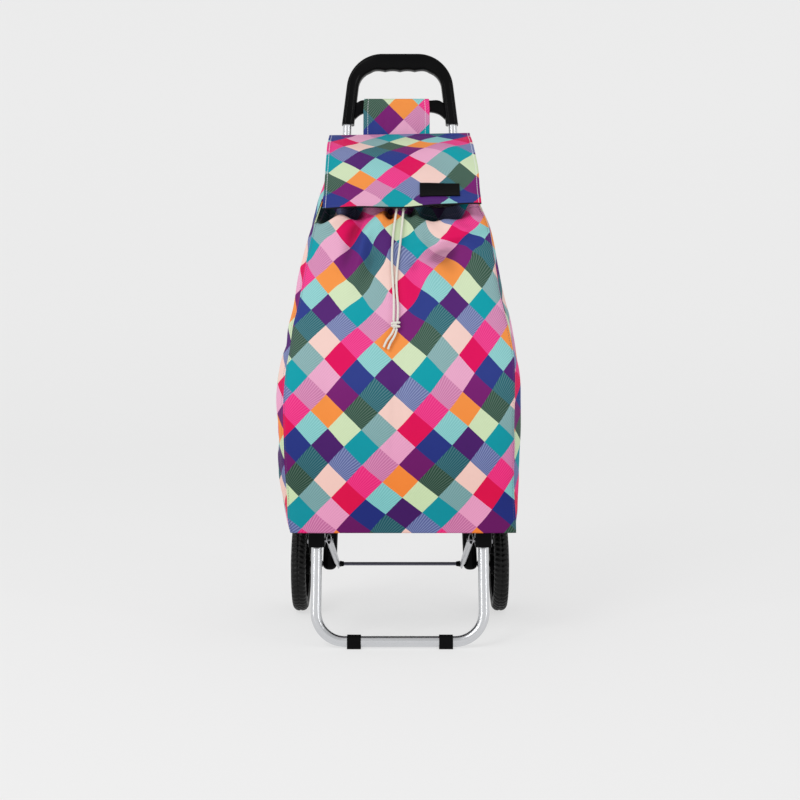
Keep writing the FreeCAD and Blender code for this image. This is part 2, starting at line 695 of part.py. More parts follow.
def front_joint(side, word):
    """Moulded housing that the stand's leg turns in; open below and behind."""
    name = "front_joint_" + word
    body = new_body(name + "_body")
    shape = sketch_on(body, "XY_Plane", name + "_outline", "Sizes.joint_low")
    inner, outer = side_pair(side, "Sizes.joint_inner", "Sizes.joint_outer")
    outline(shape, [
        (inner, "-Sizes.joint_front"), (outer, "-Sizes.joint_front"),
        (outer, "-Sizes.joint_rear"), (inner, "-Sizes.joint_rear"),
    ])
    blank = pad(body, shape, "Sizes.joint_top - Sizes.joint_low", symmetric=False)
    fillet(body, blank, "Sizes.joint_rounding",
           lambda edge: runs_along(edge, UP) and edge.CenterOfMass.y < -size("joint_rear") - 1)
    slot = sketch_on(body, "XY_Plane", name + "_slot", "Sizes.joint_low")
    slot_in, slot_out = side_pair(side, "(Sizes.joint_inner + Sizes.joint_wall)",
                                  "(Sizes.joint_outer - Sizes.joint_wall)")
    front = "-Sizes.joint_front + Sizes.joint_front_wall"
    outline(slot, [(slot_in, front), (slot_out, front), (slot_out, "-Sizes.joint_rear + 1"),
                   (slot_in, "-Sizes.joint_rear + 1")])
    doc.recompute()
    before = body.Shape.Volume
    pocket = body.newObject("PartDesign::Pocket", name + "_pocket")
    pocket.Profile = slot
    pocket.setExpression("Length", "Sizes.joint_top - Sizes.joint_low - Sizes.joint_roof")
    pocket.Reversed = True
    doc.recompute()
    assert pocket.Shape.Volume < before - 1, name
    reach = size("wheel_middle")
    bore = cylinder(name + "_bore", "Sizes.pivot_pin_diameter / 2 + Sizes.bore_clearance",
                    pivot_point(-reach), pivot_point(reach))
    node(cut(name, body, bore), name)


def side_pair(side, inner, outer):
    """The same two distances from the middle, to the left or to the right."""
    if side > 0:
        return inner, outer
    return "-(%s)" % inner, "-(%s)" % outer


def stand_pin(side, word):
    """Pin through the base rail, the front joint and the stand's leg, with a flat head."""
    name = "stand_pin_" + word
    inner = side * (size("rail_middle") - size("rail_width") / 2 - size("pin_proud"))
    outer = side * (size("joint_outer") + size("pin_head"))
    shank = cylinder(name + "_shank", "Sizes.pivot_pin_diameter / 2",
                     pivot_point(inner), pivot_point(outer))
    head = cylinder(name + "_head", "Sizes.pivot_pin_diameter / 2 + Sizes.pin_head_lip",
                    pivot_point(side * (size("joint_outer") + size("bore_clearance"))),
                    pivot_point(outer + side * size("pin_head")))
    node(fuse(name, shank, head), name)


def stand_tube():
    """One aluminium tube bent into a U: two legs and a crossbar near the floor."""
    name = "stand_tube"
    body = new_body(name + "_body", stand_placement())
    path = sketch_on(body, "XZ_Plane", name + "_path")
    half, corner = size("stand_half"), size("stand_corner")
    top, low = size("stand_above_pivot"), -stand_length()
    points = [(-half, top), (-half, low + corner), (-half + corner, low),
              (half - corner, low), (half, low + corner), (half, top)]
    points = [FreeCAD.Vector(x, z, 0) for x, z in points]
    middles = [FreeCAD.Vector(s * (half - corner), low + corner, 0) for s in (-1, 1)]
    left, right = math.radians(180), math.radians(270)
    path.addGeometry(Part.LineSegment(points[0], points[1]), False)
    path.addGeometry(Part.ArcOfCircle(Part.Circle(middles[0], UP, corner), left, right), False)
    path.addGeometry(Part.LineSegment(points[2], points[3]), False)
    path.addGeometry(Part.ArcOfCircle(Part.Circle(middles[1], UP, corner), right,
                                      math.radians(360)), False)
    path.addGeometry(Part.LineSegment(points[4], points[5]), False)
    for first, first_end, second, second_end in [(0, 2, 1, 1), (1, 2, 2, 1), (2, 2, 3, 1),
                                                 (3, 2, 4, 1)]:
        path.addConstraint(Sketcher.Constraint("Tangent", first, first_end, second, second_end))
    path.addConstraint(Sketcher.Constraint("Vertical", 0))
    path.addConstraint(Sketcher.Constraint("Vertical", 4))
    path.addConstraint(Sketcher.Constraint("Horizontal", 2))
    bind(path, "DistanceX", "-Sizes.stand_half", -1, 1, 0, 1)
    bind(path, "DistanceX", "Sizes.stand_half", -1, 1, 4, 2)
    bind(path, "DistanceY", "Sizes.stand_above_pivot", -1, 1, 0, 1)
    bind(path, "DistanceY", "Sizes.stand_above_pivot", -1, 1, 4, 2)
    bind(path, "Radius", "Sizes.stand_corner", 1)
    bind(path, "Radius", "Sizes.stand_corner", 3)
    path.addConstraint(Sketcher.Constraint("DistanceY", -1, 1, 2, 1, low))
    section = sketch_on(body, "XY_Plane", name + "_section", "Sizes.stand_above_pivot")
    ring(section, "-Sizes.stand_half", "0", "Sizes.stand_diameter / 2")
    ring(section, "-Sizes.stand_half", "0", "Sizes.stand_diameter / 2 - Sizes.stand_wall")
    sweep = body.newObject("PartDesign::AdditivePipe", name + "_sweep")
    sweep.Profile = section
    sweep.Spine = (path, [])
    doc.recompute()
    reach = size("wheel_middle")
    bore = cylinder(name + "_bore", "Sizes.pivot_pin_diameter / 2 + Sizes.bore_clearance",
                    pivot_point(-reach), pivot_point(reach))
    node(cut(name, body, bore), name)


def stand_point(x, along):
    """Point of the stand: across, and down the legs from the pivot."""
    return stand_placement().multVec(FreeCAD.Vector(x, 0, -along))


def stand_plug(side, word):
    """Moulded plug in the open top of a leg, drilled for the pin."""
    name = "stand_plug_" + word
    x = side * size("stand_half")
    top = -size("stand_above_pivot")
    body = cylinder(name + "_body", "Sizes.stand_diameter / 2 - Sizes.stand_wall - "
                    "Sizes.bore_clearance", stand_point(x, top),
                    stand_point(x, top + size("stand_plug_length")))
    rim = cylinder(name + "_rim", "Sizes.stand_diameter / 2",
                   stand_point(x, top - size("plug_rim")),
                   stand_point(x, top - size("bore_clearance")))
    reach = size("wheel_middle")
    bore = cylinder(name + "_bore", "Sizes.pivot_pin_diameter / 2 + Sizes.bore_clearance",
                    pivot_point(-reach), pivot_point(reach))
    stem = cylinder(name + "_stem", "Sizes.stand_diameter / 2 - Sizes.stand_wall - "
                    "Sizes.bore_clearance", stand_point(x, top - size("plug_rim") / 2),
                    stand_point(x, top))
    node(cut(name, fuse(name, body, stem, rim), bore), name)


def stand_foot(side, word):
    """Rubber clip around the crossbar with a flat sole."""
    name = "stand_foot_" + word
    body = new_body(name + "_body", FreeCAD.Placement(foot_point(side * size("foot_middle")),
                                                      FreeCAD.Rotation()))
    half = "Sizes.foot_height / 2"
    shape = sketch_on(body, "YZ_Plane", name + "_outline")
    outline(shape, [("-" + half, "-" + half), (half, "-" + half), (half, half),
                    ("-" + half, half)])
    blank = pad(body, shape, "Sizes.foot_width")
    upper = fillet(body, blank, "Sizes.foot_height / 2 - Sizes.bore_clearance",
                   lambda edge: runs_along(edge, ACROSS)
                   and edge.CenterOfMass.z > 1)
    fillet(body, upper, "Sizes.foot_corner",
           lambda edge: runs_along(edge, ACROSS) and edge.CenterOfMass.z < -1
           and edge.CenterOfMass.z < -number(half) + 0.01)
    reach = size("wheel_middle")
    hole = cylinder(name + "_hole", "Sizes.stand_diameter / 2 + Sizes.bore_clearance",
                    foot_point(-reach), foot_point(reach))
    node(cut(name, body, hole), name)


# ---- bag -----------------------------------------------------------------------------

BACK_FACE = ("(Sizes.axle_back + (%s - Sizes.axle_height) * tan(Sizes.lean_angle)"
             " - Sizes.tube_diameter / 2 - Sizes.bag_tube_gap)")


def wall(name, levels, corners_at):
    """Thin wall of the bag, lofted through a section at each level."""
    body = new_body(name)
    sections = []
    for level in levels:
        rise = "Sizes.bag_rise_" + level
        section = sketch_on(body, "XY_Plane", "%s_level_%s" % (name, level), rise)
        outline(section, corners_at(level))
        sections.append(section)
    loft = body.newObject("PartDesign::AdditiveLoft", name + "_loft")
    loft.Profile = sections[0]
    loft.Sections = sections[1:]
    loft.Ruled = True
    node(body, name)


def back_face(level):
    return BACK_FACE % ("Sizes.bag_rise_" + level)


def bag_front():
    def corners(level):
        half = "Sizes.bag_half_" + level
        front = "Sizes.bag_front_" + level
        rear = front + " + Sizes.bag_wall"
        return [("-" + half, front), (half, front), (half, rear), ("-" + half, rear)]
    wall("bag_front", WALL_LEVELS, corners)


def bag_back():
    def corners(level):
        half = "Sizes.bag_half_" + level
        rear = back_face(level)
        front = rear + " - Sizes.bag_wall"
        return [("-" + half, front), (half, front), (half, rear), ("-" + half, rear)]
    wall("bag_back", WALL_LEVELS + MOUTH_LEVELS, corners)


def bag_side(side, word):
    def corners(level):
        half = "Sizes.bag_half_" + level
        inner, outer = side_pair(side, half + " - Sizes.bag_wall", half)
        front = "Sizes.bag_front_%s + Sizes.bag_wall" % level
        rear = back_face(level) + " - Sizes.bag_wall"
        return [(inner, front), (outer, front), (outer, rear), (inner, rear)]
    wall("bag_side_" + word, WALL_LEVELS + MOUTH_LEVELS, corners)


def bag_floor(name, margin, low, height):
    """Flat panel inside the foot of the bag's walls."""
    body = new_body(name)
    shape = sketch_on(body, "XY_Plane", name + "_outline", low)
    half = "Sizes.bag_half_a - %s" % margin
    front = "Sizes.bag_front_a + %s" % margin
    rear = "%s - %s" % (back_face("a"), margin)
    outline(shape, [("-(%s)" % half, front), (half, front), (half, rear),
                    ("-(%s)" % half, rear)])
    pad(body, shape, height, symmetric=False)
    node(body, name)


def bag_loops():
    """Fabric sleeves on the bag's back that the leaning tubes pass through."""
    sleeves = []
    for word, side in SIDES:
        for level in ("low", "high"):
            rise = size("loop_%s_rise" % level)
            sleeves.append(pipe("bag_loop_%s_%s" % (word, level),
                                "Sizes.tube_diameter / 2 + Sizes.loop_wall",
                                "Sizes.tube_diameter / 2 + Sizes.bore_clearance",
                                tube_point(side, rise),
                                tube_point(side, rise + size("loop_length"))))
    node(group("bag_loops", *sleeves), "bag_loops")


def bag_tab():
    """Wide fabric loop over the bridge that the bag hangs from."""
    name = "bag_tab"
    placement = lean_placement(size("tube_top_rise"))
    placement.Base.x = -size("tab_to_left")
    body = new_body(name, placement)
    shape = sketch_on(body, "YZ_Plane", name + "_outline")
    inner = "Sizes.bridge_depth / 2 + Sizes.tab_slack"
    outer = inner + " + Sizes.tab_thickness"
    roof = "Sizes.bridge_high + Sizes.tab_slack"
    low = "-Sizes.tab_low"
    outline(shape, [
        ("-(%s)" % outer, low), ("-(%s)" % inner, low), ("-(%s)" % inner, roof),
        (inner, roof), (inner, low), (outer, low),
        (outer, roof + " + Sizes.tab_thickness"),
        ("-(%s)" % outer, roof + " + Sizes.tab_thickness"),
    ])
    blank = pad(body, shape, "Sizes.tab_half * 2")
    doc.recompute()
    top = number(roof + " + Sizes.tab_thickness")
    fillet(body, blank, "Sizes.tab_thickness",
           lambda edge: runs_along(edge, ACROSS) and edge.CenterOfMass.z > top - 0.1)
    node(body, name)


def rim_line():
    """The bag's rim from the flap's front edge to its hinge, as pairs of expressions."""
    points = [("-Sizes.flap_front", "Sizes.bag_rise_f - Sizes.flap_drop")]
    for level in "f" + MOUTH_LEVELS:
        points.append(("Sizes.bag_front_" + level, "Sizes.bag_rise_" + level))
    points.append(("Sizes.flap_rear", "Sizes.bag_rise_v + Sizes.flap_rear_rise"))
    return points


def flap_panel():
    """Fabric flap that lies over the bag's mouth, just above its rim."""
    name = "flap_panel"
    body = new_body(name)
    shape = sketch_on(body, "YZ_Plane", name + "_outline")
    under = [(y, z + " + Sizes.flap_gap") for y, z in rim_line()]
    upper = [(y, z + " + Sizes.flap_thickness") for y, z in under]
    outline(shape, under + upper[::-1])
    pad(body, shape, "Sizes.flap_half * 2")
    node(body, name)


def flap_label():
    """Bare label near the flap's lower edge, to the right of the middle."""
    name = "flap_label"
    front = FreeCAD.Vector(0, size("bag_front_f"), size("bag_rise_f"))
    rear = FreeCAD.Vector(0, size("bag_front_g"), size("bag_rise_g"))
    along = rear - front
    share = (-size("label_back") - front.y) / along.y
    middle = front + along * share
    middle.z += size("flap_gap") + size("flap_thickness")
    angle = math.degrees(math.atan2(along.z, along.y))
    turn = FreeCAD.Rotation(ACROSS, angle)
    middle.x = size("label_side")
    corner = middle + turn.multVec(FreeCAD.Vector(-size("label_length") / 2,
                                                  -size("label_width") / 2,
                                                  size("bore_clearance")))
    node(box(name, "Sizes.label_length", "Sizes.label_width", "Sizes.label_thickness",
             FreeCAD.Placement(corner, turn)), name)


# ---- drawcord ------------------------------------------------------------------------

def front_at(height):
    """How far back the bag's front lies at a height."""
    levels = [(size("bag_rise_" + level), size("bag_front_" + level))
              for level in WALL_LEVELS]
    for (low, low_front), (high, high_front) in zip(levels, levels[1:]):
        if height <= high:
            share = (height - low) / (high - low)
            return low_front + (high_front - low_front) * share
    return levels[-1][1]


def front_normal(height):
    """Outward direction of the bag's front at a height."""
    step = 1
    rise = FreeCAD.Vector(0, front_at(height + step) - front_at(height - step), 2 * step)
    return rise.cross(ACROSS).normalize() * -1


def eyelets():
    """Metal rings in the front of the bag, just under the flap, that the cord leaves by."""
    rings = []
    height = size("eyelet_height")
    normal = front_normal(height)
    for word, side in SIDES:
        middle = FreeCAD.Vector(side * size("eyelet_half"), front_at(height), height)
        face = middle + normal * size("bore_clearance")
        lip = face + normal * size("eyelet_lip")
        rings.append(pipe("eyelet_" + word, "Sizes.eyelet_diameter / 2",
                          "Sizes.eyelet_bore / 2", face, lip))
    node(group("eyelets", *rings), "eyelets")


def cord(name):
    """Cord of straight runs joined by tangent arcs, as large as the runs allow."""
    points = [FreeCAD.Vector(x, front_at(z) - off, z) for x, z, off in CORD_ROUTES[name]]
    edges = []
    radii = []
    start = points[0]
    for before, corner, after in zip(points, points[1:], points[2:]):
        back, ahead = before - corner, after - corner
        run = min(back.Length, ahead.Length)
        back.normalize()
        ahead.normalize()
        turn = math.pi - back.getAngle(ahead)
        setback = 0.45 * run
        radii.append(setback / math.tan(turn / 2))
        first, last = corner + back * setback, corner + ahead * setback
        inward = (back + ahead).normalize()
        reach = radii[-1] / math.cos(turn / 2) - radii[-1]
        edges.append(Part.LineSegment(start, first).toShape())
        edges.append(Part.Arc(first, corner + inward * reach, last).toShape())
        start = last
    edges.append(Part.LineSegment(start, points[-1]).toShape())
    path = Part.Wire(edges)
    radius = size("cord_diameter") / 2
    section = Part.Wire(Part.makeCircle(radius, points[0], points[1] - points[0]))
    tube = path.makePipeShell([section], True, False)
    expected = math.pi * radius ** 2 * path.Length
    assert abs(tube.Volume / expected - 1) < 0.01, name
    print(name, "length", round(path.Length, 1), "radii", [round(r, 1) for r in radii])
    feature = doc.addObject("Part::Feature", name)
    feature.Shape = tube
    node(feature, name)


def knot():
    """Knot that ties the two ends together, as the rounded lump it fills."""
    name = "drawcord_knot"
    x, z = KNOT_MIDDLE
    lump = doc.addObject("Part::Ellipsoid", name)
    lump.setExpression("Radius1", "Sizes.knot_height / 2")
    lump.setExpression("Radius2", "Sizes.knot_width / 2")
    lump.setExpression("Radius3", "Sizes.knot_depth / 2")
    normal = front_normal(z)
    middle = FreeCAD.Vector(x, front_at(z), z)
    middle += normal * (size("knot_depth") / 2 + size("seat_gap"))
    lump.Placement = FreeCAD.Placement(
        middle, FreeCAD.Rotation(FreeCAD.Vector(0, -1, 0), normal))
    node(lump, name)


# ---- the trolley ---------------------------------------------------------------------

for word, side in SIDES:
    main_tube(side, word)
    bearing_block(side, word)
    base_rail(side, word)
    front_joint(side, word)
    stand_pin(side, word)
    stand_plug(side, word)
    stand_foot(side, word)
    wheel_rim(side, word)
    wheel_tyre(side, word)
    wheel_bush(side, word)
    hub_cap(side, word)
    bag_side(side, word)
cross_tube("cross_tube_low", size("cross_low_rise"))
cross_tube("cross_tube_high", size("cross_high_rise"))
axle()
axle_collars()
axle_spacers()
axle_nuts()
handle_loop()
handle_bridge()
handle_screws()
stand_tube()
bag_front()
bag_back()
bag_floor("bag_base", "(Sizes.bag_wall + Sizes.bore_clearance)", "Sizes.bag_rise_a",
          "Sizes.base_fabric")
bag_floor("base_board", "Sizes.board_margin", "Sizes.bag_rise_a + Sizes.base_fabric",
          "Sizes.board_thickness")
bag_loops()
bag_tab()
flap_panel()
flap_label()
eyelets()
for route in CORD_ROUTES:
    cord(route)
knot()

doc.recompute()
for item in doc.Objects:
    assert "Invalid" not in item.State and "Error" not in item.State, item.Name
os.makedirs("parts", exist_ok=True)
for item in nodes:
    assert not item.Shape.isNull() and item.Shape.isValid(), item.Label
    item.Shape.exportStep("parts/%s.step" % item.Label)
print(len(nodes), "sub-parts")
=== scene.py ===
import math

import bmesh
import bpy
import numpy as np
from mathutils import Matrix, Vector, noise


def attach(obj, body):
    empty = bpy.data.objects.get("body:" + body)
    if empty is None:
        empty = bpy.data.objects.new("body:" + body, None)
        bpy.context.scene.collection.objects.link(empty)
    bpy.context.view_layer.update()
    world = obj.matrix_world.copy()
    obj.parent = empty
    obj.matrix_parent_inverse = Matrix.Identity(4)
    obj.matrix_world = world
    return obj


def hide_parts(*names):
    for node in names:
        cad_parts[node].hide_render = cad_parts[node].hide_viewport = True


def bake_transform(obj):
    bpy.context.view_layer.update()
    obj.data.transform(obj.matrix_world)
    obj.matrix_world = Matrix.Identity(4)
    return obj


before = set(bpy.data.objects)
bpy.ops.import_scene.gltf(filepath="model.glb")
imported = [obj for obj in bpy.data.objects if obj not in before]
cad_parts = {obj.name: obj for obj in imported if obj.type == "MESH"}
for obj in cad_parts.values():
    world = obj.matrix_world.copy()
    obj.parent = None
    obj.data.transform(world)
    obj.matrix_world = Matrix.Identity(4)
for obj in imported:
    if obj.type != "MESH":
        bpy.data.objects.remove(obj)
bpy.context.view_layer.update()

# Looks of the shopping trolley: the bag, flap, tab, handle, tyres and drawcord are built
# here around the CAD frame; the other CAD nodes keep their shape and get materials.
# Metres; +Z up, the front faces -Y. Each fabric piece carries two UV maps: "cloth" is
# the place on the flat cloth, "seam" is the distance to the nearest stitched line and the
# place along it. The bag's front has a third, "hollow": the strength of the shade painted
# into its colour in its pockets under the flap and in the valleys of its folds.

LEAN = math.radians(2.67)           # of the two long tubes
AXLE = Vector((0, 0.100, 0.080))
TUBE_TOP = 0.759                    # along the long tubes from the axle
TUBE_FEET, TUBE_HEADS = 0.1217, 0.091   # their half spacing at the axle and at the top
TYRE_MIDDLE, TYRE_RADIUS = 0.1707, 0.080
SQUARE = 0.036                      # side of one cell of the check
CLOTH, HEMMED = 0.0016, 0.0018      # thickness of the bag's cloth, and of two layers
SIDES = ((-1, "left"), (1, "right"))


# ---- camera --------------------------------------------------------------------------

camera = bpy.data.objects.new("camera", bpy.data.cameras.new("camera"))
bpy.context.scene.collection.objects.link(camera)
camera.data.lens = 57.04
camera.data.sensor_width = 36
camera.location = (0, -2.079, 0.481)
camera.rotation_euler = (math.radians(90 - 3.069), 0, 0)
bpy.context.scene.camera = camera
bpy.context.scene.view_settings.view_transform = "Standard"


# ---- helpers for shaders -------------------------------------------------------------

def linear(hexa):
    """Linear colour of a six-digit sRGB value."""
    parts = [int(hexa[i:i + 2], 16) / 255 for i in (0, 2, 4)]
    return tuple(p / 12.92 if p <= 0.04045 else ((p + 0.055) / 1.055) ** 2.4
                 for p in parts) + (1,)


def scaled(color, factor):
    return tuple(c * factor for c in color[:3]) + (1,)


class Shader:
    """A material's node tree with short ways to add nodes."""

    def __init__(self, name):
        self.material = bpy.data.materials.new(name)
        self.material.use_nodes = True
        self.tree = self.material.node_tree
        self.tree.nodes.clear()
        self.out = self.tree.nodes.new("ShaderNodeOutputMaterial")
        self.bsdf = self.tree.nodes.new("ShaderNodeBsdfPrincipled")
        self.tree.links.new(self.bsdf.outputs["BSDF"], self.out.inputs["Surface"])

    def put(self, socket, value):
        if isinstance(value, bpy.types.NodeSocket):
            self.tree.links.new(value, socket)
        else:
            socket.default_value = value

    def node(self, kind, **settings):
        made = self.tree.nodes.new(kind)
        for key, value in settings.items():
            setattr(made, key, value)
        return made

    def math(self, operation, *values):
        made = self.node("ShaderNodeMath", operation=operation)
        for socket, value in zip(made.inputs, values):
            self.put(socket, value)
        return made.outputs[0]

    def add(self, first, second):
        return self.math("ADD", first, second)

    def less(self, first, second):
        """First minus second."""
        return self.math("SUBTRACT", first, second)

    def times(self, first, second):
        return self.math("MULTIPLY", first, second)

    def mix(self, factor, first, second, blend="MIX"):
        made = self.node("ShaderNodeMix", data_type="RGBA", blend_type=blend)
        self.put(made.inputs["Factor"], factor)
        self.put(made.inputs["A"], first)
        self.put(made.inputs["B"], second)
        return made.outputs["Result"]

    def parts(self, vector):
        made = self.node("ShaderNodeSeparateXYZ")
        self.put(made.inputs[0], vector)
        return made.outputs

    def uv(self, name):
        return self.parts(self.node("ShaderNodeUVMap", uv_map=name).outputs[0])[:2]

    def place(self):
        return self.node("ShaderNodeTexCoord").outputs["Object"]

    def noise(self, scale, detail=3, rough=0.5, stretch=None):
        made = self.node("ShaderNodeTexNoise")
        made.inputs["Scale"].default_value = scale
        made.inputs["Detail"].default_value = detail
        made.inputs["Roughness"].default_value = rough
        at = self.place()
        if stretch:
            mapping = self.node("ShaderNodeMapping")
            mapping.inputs["Scale"].default_value = stretch
            self.put(mapping.inputs["Vector"], at)
            at = mapping.outputs[0]
        self.put(made.inputs["Vector"], at)
        return made.outputs["Fac"]

    def spread(self, value, low, high, to_low=0.0, to_high=1.0):
        made = self.node("ShaderNodeMapRange")
        for socket, item in zip(made.inputs, (value, low, high, to_low, to_high)):
            self.put(socket, item)
        return made.outputs[0]

    def weave(self, across, up, thread_size):
        """Height of plain weave at a place on the cloth."""
        return self.math("MULTIPLY", *(
            self.math("SINE", self.math("MULTIPLY", way, 2 * math.pi / thread_size))
            for way in (across, up)))

    def bump(self, height, strength, distance):
        made = self.node("ShaderNodeBump")
        made.inputs["Strength"].default_value = strength
        made.inputs["Distance"].default_value = distance
        self.put(made.inputs["Height"], height)
        return made.outputs[0]

    def set(self, **values):
        for key, value in values.items():
            self.put(self.bsdf.inputs[key.replace("_", " ").title().replace("Ior", "IOR")], value)
        return self.material


def plastic(name, color, rough, grain=0.15, scale=900, shine=0.05, glossy_below=None):
    """Moulded plastic: fine grain, slow changes of gloss, glossy below a height if wanted."""
    s = Shader(name)
    slow = s.noise(14, 2)
    fine = s.noise(scale, 2, 0.6)
    tint = s.mix(s.spread(slow, 0.35, 0.7), color, scaled(color, 1.5))
    gloss = s.spread(slow, 0.3, 0.7, rough - 0.05, rough + 0.07)
    if glossy_below:
        matt = s.spread(s.parts(s.place())[2], *glossy_below)
        gloss = s.times(gloss, s.spread(matt, 0, 1, 0.45, 1.4))
    return s.set(base_color=tint, roughness=gloss, specular_ior_level=shine,
                 normal=s.bump(fine, grain, 0.0003))


def metal(name, color, rough, along, lines=1400):
    """Drawn metal: fine lines along the tube and faint spots."""
    s = Shader(name)
    stretch = [1, 1, 1]
    stretch[along] = 0.02
    drawn = s.noise(lines, 2, 0.5, stretch=stretch)
    slow = s.noise(30, 3)
    tint = s.mix(s.spread(slow, 0.3, 0.75), color, scaled(color, 0.97))
    gloss = s.spread(drawn, 0.3, 0.7, rough - 0.01, rough + 0.03)
    return s.set(base_color=tint, metallic=1.0, roughness=gloss,
                 normal=s.bump(drawn, 0.03, 0.0002))


# ---- the printed cloth ---------------------------------------------------------------

# Sixteen colours of the diamond check, row after row of the repeat, and for each the
# strength of its fine fan lines.
CHECK = [
    ("2B3B88", 0.0), ("226A74", 0.34), ("F2CFC6", 0.0), ("E0025A", 0.0),
    ("781A70", 0.0), ("335844", 0.34), ("87AFB0", 0.3), ("ECA9CA", 0.16),
    ("F49446", 0.0), ("D2E3BC", 0.1), ("009CA8", 0.0), ("D986B4", 0.45),
    ("8DCFCE", 0.3), ("522070", 0.0), ("727EB2", 0.6), ("F13089", 0.2),
]
# Where the fans of a cell spring from, in cell widths along its two sides.
FAN_CENTRE = (0.5, 2.0)
STITCH_LENGTH = 0.0042


def ramp16(s, factor, colors):
    """Constant ramp of sixteen colours."""
    made = s.node("ShaderNodeValToRGB")
    made.color_ramp.interpolation = "CONSTANT"
    while len(made.color_ramp.elements) < len(colors):
        made.color_ramp.elements.new(1.0)
    for count, (element, color) in enumerate(zip(made.color_ramp.elements, colors)):
        element.position = count / len(colors)
        element.color = color
    s.put(made.inputs[0], factor)
    return made.outputs[0]


def print_cloth(name, middle, turned=False, stitch=None, hollows=False, hem=0.0, depth=None):
    """Woven cloth with the diamond check. middle is a navy square's place on the cloth;
    stitch gives a seam's distance from the edge, half width and colour."""
    s = Shader(name)
    u, v = s.uv("cloth")
    wobble = s.spread(s.noise(60, 2), 0, 1, -0.0006, 0.0006)
    sign = -1 if turned else 1
    across = s.times(s.add(s.less(u, middle[0]), wobble), sign)
    upward = s.times(s.less(v, middle[1]), sign)
    step = SQUARE * math.sqrt(2)
    right = s.add(s.math("DIVIDE", s.less(across, upward), step), 0.5)
    left = s.add(s.math("DIVIDE", s.times(s.add(across, upward), -1), step), 0.5)
    column, row = (s.math("FLOORED_MODULO", s.math("FLOOR", way), 4) for way in (right, left))
    index = s.add(column, s.times(row, 4))
    factor = s.math("DIVIDE", s.add(index, 0.5), 16)
    color = ramp16(s, factor, [linear(c[0]) for c in CHECK])
    fan = ramp16(s, factor, [(c[1],) * 3 + (1,) for c in CHECK])
    aside = s.less(s.math("FRACT", right), FAN_CENTRE[0])
    down = s.less(s.math("FRACT", left), FAN_CENTRE[1])
    angle = s.math("ARCTAN2", down, aside)
    rays = s.math("SINE", s.add(s.times(angle, 118), s.times(s.noise(220, 2), 1.2)))
    rays = s.spread(rays, -0.4, 0.8)
    pale = s.mix(0.24, color, (0.9, 0.95, 1, 1))
    deep = s.mix(0.34, color, (0.0, 0.0, 0.03, 1))
    lines = s.mix(rays, deep, pale)
    color = s.mix(fan, color, lines)
    # dye and handling: slow and fine changes
    slow = s.noise(9, 3)
    color = s.mix(s.spread(slow, 0.3, 0.8, 0, 0.12), color, (0.9, 0.9, 0.9, 1), "MULTIPLY")
    if depth:
        # painted shade: the print darkens towards the foot of the bag, where less light falls
        gamma = s.node("ShaderNodeGamma")
        s.put(gamma.inputs[0], color)
        s.put(gamma.inputs[1], s.spread(v, *depth))
        color = gamma.outputs[0]
    # painted shade: the colour is darkened to near black as far as the "hollow" map says
    if hollows:
        color = s.mix(s.uv("hollow")[0], color, (0.003, 0.003, 0.006, 1))
    # plain weave: two sets of threads
    weave = s.weave(u, v, 0.0009)
    color = s.mix(s.spread(weave, -1, 1, 0.0, 0.05), color, (0.75, 0.75, 0.78, 1), "MULTIPLY")
    crumple = s.noise(48, 4, 0.55)
    height = s.add(s.times(weave, 0.05), crumple)
    gap, along = s.uv("seam")
    if stitch:
        inset, half_width, thread_color = stitch
        off_line = s.math("ABSOLUTE", s.less(gap, inset))
        pitch = s.math("FRACT", s.math("DIVIDE", along, STITCH_LENGTH))
        dash = s.times(s.math("LESS_THAN", pitch, 0.72),
                       s.math("LESS_THAN", off_line, half_width))
        color = s.mix(s.times(dash, 0.75), color, thread_color)
        height = s.add(height, s.times(dash, 0.5))
        height = s.add(height, s.spread(off_line, 0, 0.003, -0.5, 0))
    # painted shade: a near-black band, hem wide, along the cloth's lower edge stands in for the
    # shade under that edge
    if hem:
        color = s.mix(s.math("LESS_THAN", along, hem), color, (0.006, 0.006, 0.008, 1))
    return s.set(base_color=color, roughness=s.spread(weave, -1, 1, 0.52, 0.66),
                 specular_ior_level=0.14, sheen_weight=0.03, sheen_roughness=0.4,
                 normal=s.bump(height, 0.45, 0.0016))


def plain_cloth(name, color, thread_size=0.0008, rough=0.75, shine=0.25):
    """Plain woven cloth or webbing, lit a little by its loose fibres."""
    s = Shader(name)
    x, y, z = s.parts(s.place())
    weave = s.weave(s.add(x, y), s.add(z, y), thread_size)
    slow = s.noise(25, 3)
    tint = s.mix(s.spread(slow, 0.3, 0.7), color, scaled(color, 0.9))
    height = s.add(s.times(weave, 0.3), s.noise(60, 3))
    return s.set(base_color=tint, roughness=rough, sheen_weight=0.3 * shine,
                 specular_ior_level=shine, normal=s.bump(height, 0.4, 0.0008))


STITCH_WHITE = (0.82, 0.84, 0.88, 1)
STITCH_DARK = (0.10, 0.08, 0.14, 1)
